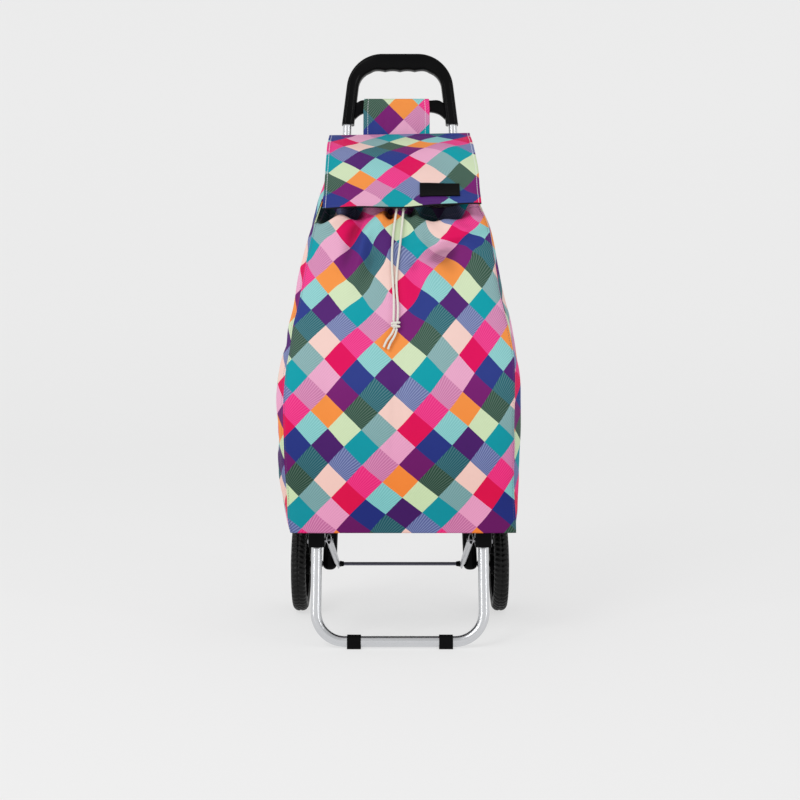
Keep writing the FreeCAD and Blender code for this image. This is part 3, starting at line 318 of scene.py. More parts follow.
# Height on the cloth and gamma of the painted shade that darkens the print towards the foot
# of the bag, from the foot upwards.
FOOT_SHADE_GAMMA = (0.06, 0.24, 1.22, 1.0)
looks = {
    "plastic": plastic("black_plastic", linear("080809"), 0.30),
    "handle": plastic("handle_plastic", linear("060607"), 0.21, shine=0.08,
                      glossy_below=(0.862, 0.895)),
    "plastic_rough": plastic("black_plastic_grained", linear("070708"), 0.42, 0.35, 500),
    "rubber": plastic("rubber", linear("0A0A0B"), 0.62, 0.4, 350),
    "tyre": plastic("tyre_rubber", linear("090909"), 0.42, 0.6, 260, 0.22),
    "aluminium": metal("aluminium_drawn", (0.68, 0.69, 0.71, 1), 0.24, 2),
    "aluminium_across": metal("aluminium_drawn_across", (0.68, 0.69, 0.71, 1), 0.24, 0),
    "aluminium_dull": metal("aluminium_dull", (0.60, 0.61, 0.63, 1), 0.38, 1),
    "steel": metal("steel", (0.42, 0.42, 0.44, 1), 0.35, 0),
    "dark_steel": metal("dark_steel", (0.11, 0.11, 0.14, 1), 0.35, 0),
    "lining": plain_cloth("lining", linear("D8D6D2"), 0.0010),
    "black_cloth": plain_cloth("black_cloth", linear("161618"), 0.0011, 0.75, 0.1),
    "label": plain_cloth("label_cloth", linear("070708"), 0.0012, 0.6, 0.06),
    "cord": plain_cloth("cord_cotton", linear("E9E6DC"), 0.0013, 0.8),
    "board": plain_cloth("board_grey", linear("55504A"), 0.004, 0.85),
    "front_print": print_cloth("print_front", (0.0545, 0.1385), hollows=True, depth=FOOT_SHADE_GAMMA,
                               stitch=(0.015, 0.0004, STITCH_DARK)),
    "side_print": print_cloth("print_side", (0.030, 0.020), depth=FOOT_SHADE_GAMMA,
                              stitch=(0.006, 0.0004, STITCH_DARK)),
    # the dark band along its lower edge is painted shade
    "flap_print": print_cloth("print_flap", (-0.0117, 0.1252), turned=True,
                              stitch=(0.0040, 0.00045, STITCH_WHITE), hem=0.0017),
    "tab_print": print_cloth("print_tab", (-0.0445, 0.008), turned=True,
                             stitch=(0.0075, 0.0004, STITCH_WHITE)),
}


# ---- helpers for meshes --------------------------------------------------------------

def add_object(name, data):
    obj = bpy.data.objects.new(name, data)
    bpy.context.scene.collection.objects.link(obj)
    return obj


def mesh_piece(name, verts, faces, material, flat_faces=0):
    """Object from points and faces, smooth but for the last few faces."""
    mesh = bpy.data.meshes.new(name)
    mesh.from_pydata([tuple(v) for v in verts], [], faces)
    for polygon in mesh.polygons[:len(faces) - flat_faces]:
        polygon.use_smooth = True
    mesh.materials.append(material)
    return add_object(name, mesh)


def strips(rows, ring, loop=False, wrap=True, flip=False):
    """Four-sided faces of a net of rows; loop joins the last row to the first, wrap joins
    each row's ends."""
    faces = []
    for i in range(rows if loop else rows - 1):
        j = (i + 1) % rows
        for k in range(ring if wrap else ring - 1):
            m = (k + 1) % ring
            face = (i * ring + k, i * ring + m, j * ring + m, j * ring + k)
            faces.append(face[:1] + face[:0:-1] if flip else face)
    return faces


def caps(rows, ring, flip=False):
    """Faces that close both ends of such a net."""
    ends = [tuple(range(ring))[::-1], tuple(range((rows - 1) * ring, rows * ring))]
    return [end[::-1] for end in ends] if flip else ends


def net(rows, columns, low, high, left, right):
    """Even places of a grid: one array that grows up the rows, one along them."""
    return (np.linspace(low, high, rows)[:, None] * np.ones((1, columns)),
            np.linspace(left, right, columns)[None, :] * np.ones((rows, 1)))


def layers(*arrays):
    return np.stack(arrays, axis=2)


def least(first, *others):
    for other in others:
        first = np.minimum(first, other)
    return first


def lengths(line):
    """Distance along a line of points to each of them."""
    return np.concatenate([[0], np.cumsum(np.linalg.norm(np.diff(line, axis=0), axis=1))])


def widen(share, left, right):
    """Places across from a share of the half widths of each row."""
    return np.where(share < 0, share * left[:, None], share * right[:, None])


def grid_piece(name, points, cloth, seam, materials, thickness=0.0, offset=-1.0, wrap=False,
               hollow=None):
    """Piece from a grid of points (rows, columns, 3) with its UV maps; a thickness gives
    it an inner side that takes the second material."""
    obj = mesh_piece(name, points.reshape(-1, 3), strips(*points.shape[:2], wrap=wrap),
                     materials[0])
    mesh = obj.data
    maps = {"cloth": cloth, "seam": seam}
    # a third map, when given, holds the strength of painted shade
    if hollow is not None:
        maps["hollow"] = layers(hollow, hollow)
    corners = np.zeros(len(mesh.loops), dtype=np.int64)
    mesh.loops.foreach_get("vertex_index", corners)
    for label, values in maps.items():
        layer = mesh.uv_layers.new(name=label)
        layer.data.foreach_set("uv",
                               values.reshape(-1, 2)[corners].astype(np.float32).ravel())
    if thickness:
        solid = obj.modifiers.new("thickness", "SOLIDIFY")
        solid.thickness = thickness
        solid.offset = offset
        solid.use_even_offset = False
        if len(materials) > 1:
            mesh.materials.append(materials[1])
            solid.material_offset = 1
            solid.material_offset_rim = 0
        settle(obj)
    return obj


def settle(obj):
    """Apply the piece's modifiers to its mesh."""
    bpy.context.view_layer.update()
    graph = bpy.context.evaluated_depsgraph_get()
    mesh = bpy.data.meshes.new_from_object(obj.evaluated_get(graph), depsgraph=graph,
                                           preserve_all_data_layers=True)
    mesh.name = obj.name
    old = obj.data
    obj.modifiers.clear()
    obj.data = mesh
    bpy.data.meshes.remove(old)


def curve_through(levels, at, blur=0.012):
    """Smooth line through (place, value) pairs, read at the places asked for."""
    places, values = np.array(levels).T
    step = 0.001
    fine = np.arange(places[0] - 4 * blur, places[-1] + 4 * blur, step)
    raw = np.interp(fine, places, values)
    low = places[0] - fine
    raw = np.where(fine < places[0], 2 * values[0] - np.interp(places[0] + low, places, values),
                   raw)
    high = fine - places[-1]
    raw = np.where(fine > places[-1],
                   2 * values[-1] - np.interp(places[-1] - high, places, values), raw)
    reach = int(3 * blur / step)
    kernel = np.exp(-0.5 * (np.arange(-reach, reach + 1) * step / blur) ** 2)
    kernel /= kernel.sum()
    soft = np.convolve(raw, kernel, mode="same")
    return np.interp(at, fine, soft)


def rise(value, start, end):
    """Smooth step from 0 at start to 1 at end."""
    t = np.clip((value - start) / (end - start), 0, 1)
    return t * t * (3 - 2 * t)


def hang(x, z, table):
    """Smooth surface through a coarse table of the front's heights and widths."""
    total = np.zeros_like(x)
    heights = [row[0] for row in table] + list(NO_HANG)
    for height, first, *others in table:
        share = curve_through([(h, float(h == height)) for h in heights], z)
        total += share * curve_through(list(zip(HANG_WIDTHS, [first, first] + others)), x, 0.015)
    return total


def pull(across, up, places, reach):
    """Sideways and upward offset of the print near each place, none far from them."""
    weight, aside, lift = 0.15, 0.0, 0.0
    for place_across, place_up, by_aside, by_up in places:
        near = np.exp(-0.5 * ((across - place_across) ** 2 + (up - place_up) ** 2) / reach ** 2)
        weight = weight + near
        aside = aside + near * by_aside
        lift = lift + near * by_up
    return 0.001 * aside / weight, 0.001 * lift / weight


def fold_place(x, z, across, up, degrees, length, width):
    """Place along and across a fold around its middle, in its half length and half width."""
    cos, sin = math.cos(math.radians(degrees)), math.sin(math.radians(degrees))
    return (((x - across) * cos + (z - up) * sin) / length,
            ((z - up) * cos - (x - across) * sin) / width)


def spot(x, z, across, up, wide, high):
    """Soft spot: 1 at its middle."""
    return np.exp(-((x - across) / wide) ** 2 - ((z - up) / high) ** 2)


def lumps(x, z, items):
    """Sum of soft ridges: middle across and up, turn in degrees, length, width, height."""
    total = np.zeros_like(x)
    for *fold, height in items:
        p, q = fold_place(x, z, *fold)
        total += height * np.exp(-0.5 * (p ** 2 + q ** 2))
    return total


def soft_noise(points, scale, seed, amount):
    """Slow unevenness of hanging cloth, the same at each run."""
    flat = points.reshape(-1, 3)
    values = [noise.noise(Vector((p[0] * scale + seed, p[1] * scale, p[2] * scale * 0.7)))
              for p in flat]
    return np.array(values).reshape(points.shape[:2]) * amount


def running_length(points, axis):
    """Distance along the rows (axis 1) or columns (axis 0) of a grid."""
    gaps = np.linalg.norm(np.diff(points, axis=axis), axis=2)
    start = np.zeros_like(np.take(gaps, [0], axis=axis))
    return np.concatenate([start, np.cumsum(gaps, axis=axis)], axis=axis)


def from_middle(points):
    """Distance along each row from where it crosses the middle."""
    run = running_length(points, 1)
    return run - np.array([np.interp(0.0, row[:, 0], along)
                           for row, along in zip(points, run)])[:, None]


def normals_of(points):
    """Unit normals of a grid; they point outwards where rows grow up and run to the right."""
    across = np.gradient(points, axis=1)
    up = np.gradient(points, axis=0)
    normal = np.cross(across, up)
    return normal / np.maximum(np.linalg.norm(normal, axis=2, keepdims=True), 1e-12)


def tube_along(name, points, radius, material, sides=10, closed=False):
    """Round tube along a line of points."""
    count = len(points)
    verts = []
    side_way = None
    for i, point in enumerate(points):
        before = points[i - 1] if (i > 0 or closed) else point
        after = points[(i + 1) % count] if (i < count - 1 or closed) else point
        along = (after - before).normalized()
        if side_way is None:
            side_way = along.orthogonal().normalized()
        side_way = (side_way - along * side_way.dot(along)).normalized()
        other = along.cross(side_way)
        for k in range(sides):
            angle = 2 * math.pi * k / sides
            verts.append(point + side_way * radius * math.cos(angle)
                         + other * radius * math.sin(angle))
    faces = strips(count, sides, loop=closed)
    if not closed:
        faces += caps(count, sides)
    return mesh_piece(name, verts, faces, material)


def leaning(x, up, depth=0.0):
    """Point in the plane of the leaning tubes: across, along the lean from the axle."""
    return Vector((x, AXLE.y + up * math.sin(LEAN) + depth * math.cos(LEAN),
                   AXLE.z + up * math.cos(LEAN) - depth * math.sin(LEAN)))


def stand_in(obj, cad, body="frame"):
    """Put a piece in the place of a CAD node and on its body."""
    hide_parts(cad)
    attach(obj, body)


# ---- drawcord ------------------------------------------------------------------------

# Each cord's length, and its route from its exit.
CORDS = {
    "drawcord_left": (0.1908, [
        (-.0054, -.0628, .6755), (-.0059, -.0665, .6715), (-.0069, -.0696, .664),
        (-.0096, -.0767, .645), (-.0119, -.087, .62), (-.0129, -.0982, .594),
        (-.0116, -.1099, .566), (-.0096, -.1186, .54), (-.0093, -.125, .518),
        (-.0099, -.1312, .4984),
    ]),
    "drawcord_right": (0.191, [
        (.0054, -.0628, .6755), (.0051, -.0665, .6715), (.0046, -.0696, .664),
        (.003, -.0763, .646), (.0006, -.0862, .622), (-.0027, -.0974, .596),
        (-.0057, -.109, .568), (-.0053, -.118, .542), (-.0024, -.1247, .519),
        (-.0037, -.1312, .4984),
    ]),
    "drawcord_tail_left": (0.0332, [
        (-.0089, -.1351, .4859), (-.0116, -.1371, .4795), (-.0162, -.1386, .4735),
        (-.0215, -.1405, .4665), (-.0248, -.1428, .458),
    ]),
    "drawcord_tail_right": (0.0349, [
        (-.0049, -.1351, .4859), (-.0064, -.1374, .4785), (-.0106, -.1395, .4705),
        (-.0154, -.1414, .4635), (-.0182, -.1433, .455),
    ]),
}
CORD_RADIUS = 0.0018
KNOT = Vector((-0.0068, -0.1333, 0.4924))


def cord_piece(name):
    """One end or tail of the drawcord, along its route."""
    data = bpy.data.curves.new("cord_" + name, "CURVE")
    data.dimensions = "3D"
    data.bevel_depth = CORD_RADIUS
    data.bevel_resolution = 5
    data.resolution_u = 16
    data.use_fill_caps = True
    spline = data.splines.new("NURBS")
    route = CORDS[name][1]
    spline.points.add(len(route) - 1)
    for point, place in zip(spline.points, route):
        point.co = place + (1,)
    spline.order_u = 3
    spline.use_endpoint_u = True
    data.materials.append(looks["cord"])
    obj = add_object("cord_" + name, data)
    stand_in(obj, name)
    return obj


def knot_piece():
    """The two ends tied: two wraps around three slanting strands."""
    out = Vector((0, -0.958, 0.287))
    up = Vector((0, 0.287, 0.958))
    side = Vector((1, 0, 0))
    pieces = []

    def wrap(height, tilt, wide, deep):
        line = []
        for k in range(48):
            a = 2 * math.pi * k / 48
            place = KNOT + up * (height + tilt * math.cos(a)) + side * wide * math.cos(a)
            line.append(place + out * deep * math.sin(a))
        return tube_along("knot_wrap", line, CORD_RADIUS, looks["cord"], 12, closed=True)

    pieces.append(wrap(0.0026, 0.0005, 0.0058, 0.0015))
    pieces.append(wrap(-0.0024, -0.0006, 0.0056, 0.0014))
    for start, end in [((-0.0031, 0.006), (0.0019, -0.0055)),
                       ((0.0031, 0.006), (-0.0021, -0.0062)),
                       ((-0.0008, 0.004), (-0.0042, -0.0048))]:
        line = []
        for k in range(13):
            t = k / 12
            place = KNOT + side * (start[0] + (end[0] - start[0]) * t)
            place += up * (start[1] + (end[1] - start[1]) * t)
            line.append(place + out * 0.0004 * math.sin(math.pi * t))
        pieces.append(tube_along("knot_strand", line, 0.0015, looks["cord"], 10))
    return join("cord_knot", pieces)


def join(name, pieces):
    """One piece from several of the same material."""
    whole = bmesh.new()
    for piece in pieces:
        whole.from_mesh(piece.data)
    mesh = bpy.data.meshes.new(name)
    whole.to_mesh(mesh)
    whole.free()
    mesh.materials.append(pieces[0].data.materials[0])
    for piece in pieces:
        bpy.data.meshes.remove(piece.data)
    return add_object(name, mesh)


cords = {name: cord_piece(name) for name in CORDS}
knot = knot_piece()
stand_in(knot, "drawcord_knot")


# ---- bag -----------------------------------------------------------------------------

FLOOR = 0.1753                      # underside of the bag
MOUTH = 0.6925                      # front edge of its mouth
# The rim from the front edge to the back: depth, height.
RIM = [(-.053, MOUTH), (-.02, .7285), (.028, .777), (.075, .802), (.116, .817)]
# The front wall: height, depth.
FRONT = [
    (FLOOR, -.163), (.25, -.162), (.37, -.154), (.46, -.139), (.56, -.109), (MOUTH, -.053),
]
# Half widths of the bag as seen from the front, left and right of the middle.
OUTLINE = {
    -1: [(FLOOR, .17), (.19, .1772), (.205, .1815), (.24, .1885), (.267, .1915), (.306, .192),
         (.362, .192), (.393, .19), (.427, .186), (.455, .179), (.494, .173), (.519, .1638),
         (.55, .157), (.595, .1488), (.654, .1368), (.6925, .1238), (.722, .1172), (.76, .1165),
         (.817, .118)],
    1: [(FLOOR, .178), (.205, .179), (.253, .178), (.306, .1825), (.362, .183), (.399, .1825),
        (.43, .18), (.455, .175), (.498, .1665), (.522, .1598), (.549, .1545), (.598, .1485),
        (.65, .141), (.686, .127), (.6925, .125), (.722, .1195), (.76, .1185), (.817, .119)],
}
# How far the front seams lie inside that outline.
TUCK = {
    -1: [(FLOOR, .003), (.205, .009), (.24, .015), (.267, .015), (.306, .014), (.362, .0125),
         (.45, .01), (.5, .007), (.56, .003), (.6925, .001), (.813, 0)],
    1: [(FLOOR, .001), (.25, .004), (.34, .008), (.4, .006), (.43, .003), (.46, .0005),
        (.52, .0005), (.6925, .001), (.813, 0)],
}
# Folds that the drawcord pulls into the top of the front.
GATHERS = [
    (-.095, .662, 32, .028, .007, .01), (-.036, .652, 62, .04, .01, .01),
    (-.06, .655, 45, .03, .008, -.005), (.026, .648, 112, .03, .008, .005),
    (.047, .643, 140, .024, .008, .008), (.088, .64, 130, .036, .011, .009),
    (.118, .66, 110, .022, .009, .004), (.07, .622, 23, .045, .006, .007),
    (.072, .608, 23, .045, .008, -.006), (-.03, .59, 75, .04, .011, .003),
    (.04, .585, 112, .045, .013, .003), (-.07, .6, 50, .04, .012, -.002),
    (.075, .59, 125, .04, .013, -.003), (.018, .6, 100, .04, .008, -.003),
    (-.048, .56, 70, .05, .012, -.002), (-.074, .624, 74, .03, .008, -.006),
    (-.045, .602, 82, .03, .007, -.006), (-.06, .612, 78, .03, .006, .004),
    (-.062, .548, 66, .03, .009, -.004),
]
# Deep pockets between those folds, under the flap's edge.
POCKETS = [
    (-.118, .669, 24, .019, .012, .026, 2.0), (-.074, .676, 4, .017, .012, .028, 1.1),
    (-.017, .673, 0, .0075, .013, .022, 1.2), (.0165, .673, 0, .0065, .01, .016, 1.2),
    (.049, .671, -12, .019, .012, .028, 1.8), (.083, .674, 4, .021, .013, .026, 1.1),
]
# How far the slack of the front carries its print sideways and up, in millimetres: a height,
# then a value at each width but the first, which takes the second's. None from NO_HANG up.
HANG_WIDTHS = (-.18, -.06, 0, .04, .09, .135, .18)
NO_HANG = (.6, .69)
HANG_ASIDE = [
    (.175, 8, 4, 5.5, 7, 7.5, 5), (.2, .5, 1.5, 3.5, 6, 6, 4), (.235, -5, -1, 1, 5, 4, 0),
    (.27, -10, -4, -2, 2.5, .5, -3), (.3, -12.5, -7, -3.5, .5, -2, -3.5),
    (.33, -12.5, -8, -3.5, -1, -4, -6), (.36, -10, -6, -2.5, 0, -4, -8),
    (.39, -3.5, 1, 5.5, 4, -2, -6), (.42, 0, 3, 6, 5, -2, -8), (.455, 0, 3, 5, 4, -3.5, -9),
    (.495, 0, 1, 3, 2.5, -4.5, -11), (.535, 0, 0, .5, 2.5, -5.5, -10),
]
HANG_UP = [
    (.175, -3, .5, 1, 1.5, 1.5, 1), (.2, -5, -1, -1, 1.5, 1.5, 2),
    (.235, -5.5, -4, -3.5, -1, 1, 4), (.27, -5, -4, -3.5, -1, 2, 4), (.31, -2, -3, -2.5, 1, 4, 5),
    (.35, 0, -1.5, .5, 4, 5, 6), (.385, 0, .5, 3, 5, 6, 7), (.42, 0, 1, 3, 5.5, 7, 7),
    (.455, 0, 0, -.5, 0, 1, 2), (.48, 0, 0, -1, -2, -1.5, -1), (.51, 0, -1, -3, -6, -5, -4),
    (.545, 0, -2, -5, -8.5, -6.5, -5),
]
# Corners of the check among the gathers: place across and up, offset aside and up in mm.
FRONT_PULLS = [
    (-.103, .655, -3.5, 3.5), (-.08, .627, -3.5, -1), (-.132, .6345, -10, 7),
    (-.1085, .6075, -6.5, 2), (-.0844, .5763, 3.5, -4.4), (-.1143, .555, 1, 1),
    (-.057, .653, 2.6, 0), (-.046, .635, -4.4, 2.6), (-.055, .6055, 3.5, -2.6),
    (-.024, .616, -4.4, 1), (-.04, .58, -1, -1.5), (-.0587, .551, 7, -1), (-.0193, .56, -5, 6),
    (.029, .6124, 1, 4), (.04, .6205, -4, -3), (.0255, .6567, 4.4, 4.4), (.0574, .636, -6, -6),
    (.089, .629, 0, -5), (.106, .647, -2.6, -6), (.074, .6114, 6, -2.6), (.1213, .6206, 8, 2),
    (.106, .5954, 4.4, 4.4), (.0547, .592, -1.8, 0), (.084, .5663, -1, 2.6),
    (.0326, .566, -3.5, 6),
]


def back_line(z):
    return 0.100 + (z - 0.080) * math.tan(LEAN) - 0.0105


def outline_at(z, side):
    return curve_through(OUTLINE[side], z, 0.010)


def seam_at(z, side):
    """Half width at the front seam."""
    return outline_at(z, side) - curve_through(TUCK[side], z, 0.010)


def mouth_wave(x, z):
    """In-and-out of the mouth's hem, inward only."""
    wave = 0.5 + 0.5 * np.cos(2 * math.pi * x / 0.034 + 0.8 * np.sin(x * 60))
    return -0.0045 * wave * rise(z, 0.655, 0.690) * rise(np.abs(x), 0.008, 0.022)


def front_places(points, plain, x, z, share):
    """The cloth's own places: along each row from the middle, up the middle column, moved
    by its folds and slack; and its seams."""
    along = running_length(plain, 1)
    u = from_middle(plain)
    v = running_length(plain, 0)
    v = v.mean(axis=1, keepdims=True) * 0.6 + v * 0.4
    drift = -0.018 * rise(z, 0.33, 0.43) - 0.006 * rise(z, 0.55, 0.66)
    gather = 1 + 0.05 * rise(z, 0.45, 0.55) + 0.13 * rise(z, 0.54, 0.64)
    gather -= 0.045 * rise(-z, -0.26, -0.19)
    lifted = 0.004 * rise(z, 0.40, 0.52) + 0.004 * rise(z, 0.54, 0.62)
    lifted -= 0.005 * (1 - rise(z, 0.36, 0.46)) * (1 - share ** 2)
    fold = z - 0.598 - 0.43 * (x - 0.032)
    tucked = -0.007 + 0.020 * rise(-fold, -0.012, 0.012)
    lifted += rise(x, 0.015, 0.055) * tucked * rise(z, 0.40, 0.52) * (1 - rise(z, 0.655, 0.68))
    lifted -= 0.006 * spot(x, z, -0.065, 0.515, 0.04, 0.035)
    drawn = spot(x, z, -0.008, 0.615, 0.028, 0.030)
    hung = spot(x, z, 0.062, 0.650, 0.028, 0.022)
    lifted += 0.0075 * drawn - 0.006 * hung
    drift -= 0.006 * drawn + 0.005 * hung
    aside, up = pull(x, z, FRONT_PULLS, 0.012)
    drift += 0.001 * hang(x, z, HANG_ASIDE) + aside
    lifted += 0.001 * hang(x, z, HANG_UP) + up
    crumple = [0.0026 * (1 - share ** 4) * soft_noise(points, 9, seed, 1.0)
               for seed in (21.0, 34.0)]
    cloth = layers((u - drift) * gather + crumple[0], v - lifted + crumple[1])
    from_edge = np.minimum(along, along[:, -1:] - along)
    top = v.max() - v
    gap = np.minimum(from_edge + 0.012, top)
    seam = layers(gap, np.where(top < from_edge, u, v))
    return cloth, seam


def front_panel():
    """Front wall: its gathers, its print's places and the shade painted in pockets and valleys.
    """
    z, share = net(190, 250, FLOOR, MOUTH, -1, 1)
    x = widen(share, seam_at(z[:, 0], -1), seam_at(z[:, 0], 1))
    y = curve_through(FRONT, z[:, 0])[:, None] * np.ones_like(x)
    depth = 0.002 + 0.012 * rise(z, FLOOR + 0.006, FLOOR + 0.05) - 0.007 * rise(z, 0.55, 0.68)
    fall = 0.25 * share ** 2 + 0.75 * np.abs(share) ** np.where(share < 0, 7, 10)
    y = y + depth * fall
    points = layers(x, y, z)
    normal = normals_of(points)
    # the strip behind the cords stays flat
    quiet = np.exp(-((x + 0.003 * rise(-z, -0.66, -0.60))
                     / np.where(z > 0.66, 0.0085, 0.012)) ** 4)
    push = lumps(x, z, GATHERS) * rise(z, 0.50, 0.60)
    push = np.where(push > 0, push * (1 - 0.9 * rise(z, 0.664, 0.680)), push)
    push += mouth_wave(x, z)
    push += soft_noise(points, 11, 3.1, 0.0045) + soft_noise(points, 26, 7.7, 0.0016)
    push = np.minimum(push, 0.009)
    deep = 0.005 * rise(z, 0.655, 0.672)
    for *fold, depth, sharp in POCKETS:
        p, q = fold_place(x, z, *fold)
        q = np.where(q > 0, 0.35 * q, q)
        deep = deep + depth * np.exp(-(p * p + q * q) ** sharp)
    push = push * (1 - quiet) + quiet * np.clip(push, -0.0015, 0.0)
    edge = np.minimum(1, (1 - np.abs(share)) / 0.05) * rise(z, FLOOR - 0.001, FLOOR + 0.02)
    plain = points + normal * (push * edge)[..., None]
    points = plain - normal * (deep * (1 - quiet) * edge)[..., None]
    # painted shade: strong deep in the pockets under the flap, softer in the valleys of the folds
    hollow = 0.8 * rise(deep * (1 - 0.8 * quiet), 0.004, 0.026) * rise(z, 0.648, 0.670)
    hollow = np.maximum(hollow, 0.42 * rise(-push, 0.002, 0.008) * (1 - quiet))
    return points, *front_places(points, plain, x, z, share), hollow


front_points, front_cloth, front_seam, front_painted_shade = front_panel()


# Creases of the side panels: place (y, z), direction, half length, half width, height.
SIDE_CREASES = [
    (-.07, .6, 68, .07, .01, .005), (.03, .56, 80, .09, .012, -.004),
    (-.1, .47, 48, .06, .009, -.005), (-.03, .43, 62, .07, .011, .005),
    (.05, .4, 100, .08, .012, .005), (-.06, .3, 30, .06, .01, -.004),
    (.02, .26, 140, .055, .01, .004), (-.12, .25, 75, .045, .01, .004),
    (.07, .7, 95, .06, .01, -.004), (0, .69, 60, .05, .009, .004),
]


def side_panel(side):
    """Side wall between the front's seam, the back and the slanting rim."""
    t, w = net(170, 110, 0, 1, 0, 1)
    w = 0.5 * w + 0.5 * (1 - np.cos(math.pi * w)) / 2
    column = front_points[:, 0 if side < 0 else -1]
    up = np.linspace(0, 1, len(column))
    front_y = np.interp(t, up, column[:, 1])
    front_z = np.interp(t, up, column[:, 2])
    back_top = RIM[-1][1]
    back_z = FLOOR + t * (back_top - FLOOR)
    back_y = back_line(back_z)
    rim = np.array([(column[-1, 1], column[-1, 2])] + RIM[1:-1] + [(back_line(back_top),
                                                                    back_top)])
    run = lengths(rim)
    run /= run[-1]
    top_y, top_z = np.interp(w, run, rim[:, 0]), np.interp(w, run, rim[:, 1])
    low_y = column[0, 1] + w * (back_line(FLOOR) - column[0, 1])
    low_z = FLOOR * np.ones_like(w)

    def patch(front, back, low, high):
        return ((1 - w) * front + w * back + (1 - t) * low + t * high
                - (1 - w) * (1 - t) * low[:, :1] - w * (1 - t) * low[:, -1:]
                - (1 - w) * t * high[:, :1] - w * t * high[:, -1:])

    y = patch(front_y, back_y, low_y, top_y)
    z = patch(front_z, back_z, low_z, top_z)
    outline = outline_at(z.ravel(), side).reshape(z.shape)
    seam_x = seam_at(z.ravel(), side).reshape(z.shape)
    tuck = outline - seam_x
    swell = np.where(w < 0.2, 1 - (1 - w / 0.2) ** 2, 1.0) * (1 - 0.55 * rise(w, 0.55, 1.0))
    reach = seam_x + (tuck + 0.002 * rise(z, FLOOR, 0.30) * (1 - rise(z, 0.50, 0.66))) * swell
    x = side * reach
    points = layers(x, y, z)
    folds = 0.004 * np.sin(2 * math.pi * (w * 3.1 + 0.25 * t)) * rise(z, 0.24, 0.40)
    folds += 0.004 * np.sin(2 * math.pi * (w * 1.5 - 0.9 * t + 0.3 * side))
    folds += soft_noise(points, 13, 5.0 + side, 0.007) + soft_noise(points, 30, 2.0, 0.002)
    for *fold, out in SIDE_CREASES:
        p, q = fold_place(y, z, *fold)
        folds += out * np.exp(-p * p - np.abs(q) ** 1.5)
    hold = rise(w, 0.0, 0.12) * rise(-w, -1.0, -0.88) * rise(t, 0.0, 0.06)
    hold *= 1 - 0.7 * rise(t, 0.9, 1.0)
    points[..., 0] += side * folds * hold * 0.8
    joined = np.clip(w / 0.02, 0, 1)[..., None]
    edge = layers(*(np.interp(t, up, column[:, k]) for k in range(3)))
    points = edge * (1 - joined) + points * joined
    along = running_length(points, 1)
    v = running_length(points, 0)
    v = v * 0.3 + v[:, 20:90].mean(axis=1, keepdims=True) * 0.7
    cloth = layers(along * side, v)
    gap = least(along, along[:, -1:] - along, v.max(axis=0, keepdims=True) - v)
    seam = layers(gap, v)
    if side < 0:
        points, cloth, seam = points[:, ::-1], cloth[:, ::-1], seam[:, ::-1]
    return points, cloth, seam


left_side, right_side = side_panel(-1), side_panel(1)


def back_panel():
    """Back wall, from one side's rear edge to the other's."""
    z, share = net(150, 120, FLOOR, RIM[-1][1], -1, 1)
    x = widen(share, *(np.interp(z[:, 0], edge[:, 2], np.abs(edge[:, 0]))
                       for edge in (left_side[0][:, 0], right_side[0][:, -1])))
    points = layers(x, back_line(z), z)
    dent = soft_noise(points, 12, 9.3, 0.005) + soft_noise(points, 30, 1.3, 0.0015)
    dent = np.clip(dent, -0.004, 0.001) - 0.0035 * np.abs(np.sin(x * 24)) ** 2
    dent *= rise(-np.abs(share), -1.0, -0.93) * rise(z, FLOOR + 0.010, FLOOR + 0.045)
    points[..., 1] += dent
    points = points[:, ::-1]
    u = running_length(points, 1)
    v = running_length(points, 0)
    cloth = layers(u - u[:, -1:] / 2, v.mean(axis=1, keepdims=True) * np.ones_like(u))
    gap = least(u, u[:, -1:] - u, v.max() - v)
    return points, cloth, layers(gap, v)


def base_panel():
    """Black panel under the bag, curling up a little at its rim."""
    front, back = -0.160, back_line(FLOOR) - 0.004
    sy, sx = net(60, 90, 0, 1, -1, 1)
    x = sx * np.where(sx < 0, 0.1668, 0.1765)
    y = front + (back - front) * sy
    near = least(1 - np.abs(sx), sy * 1.4, (1 - sy) * 1.4)
    z = FLOOR + 0.0012 * (1 - rise(near, 0, 0.05))
    return layers(x, y, z), layers(x, y), layers(near * 0.15, x)


walls = {}
for cad, panel, look in (("bag_front", (front_points, front_cloth, front_seam), "front_print"),
                         ("bag_side_left", left_side, "side_print"),
                         ("bag_side_right", right_side, "side_print"),
                         ("bag_back", back_panel(), "side_print")):
    # the front's third UV map carries its painted shade
    hollow = front_painted_shade if cad == "bag_front" else None
    walls[cad] = grid_piece(cad + "_cloth", *panel, [looks[look], looks["lining"]], CLOTH,
                            hollow=hollow)
    stand_in(walls[cad], cad)
base = grid_piece("bag_base_cloth", *base_panel(), [looks["black_cloth"]], HEMMED, 1.0)
stand_in(base, "bag_base")


# ---- flap ----------------------------------------------------------------------------

# The flap seen from the side, from its rear seam: depth, height.
FLAP_LINE = [
    (.1208, .8095), (.1212, .817), (.117, .8185), (.098, .8098), (.075, .802), (.028, .778),
    (-.02, .7285), (-.053, .6925), (-.073, .6738),
]
# Its half widths against the share of its length.
FLAP_LEFT = [(0, .1203), (.6, .1208), (1.0, .1212)]
FLAP_RIGHT = [(0, .1187), (.45, .1226), (.62, .1268), (1.0, .1275)]
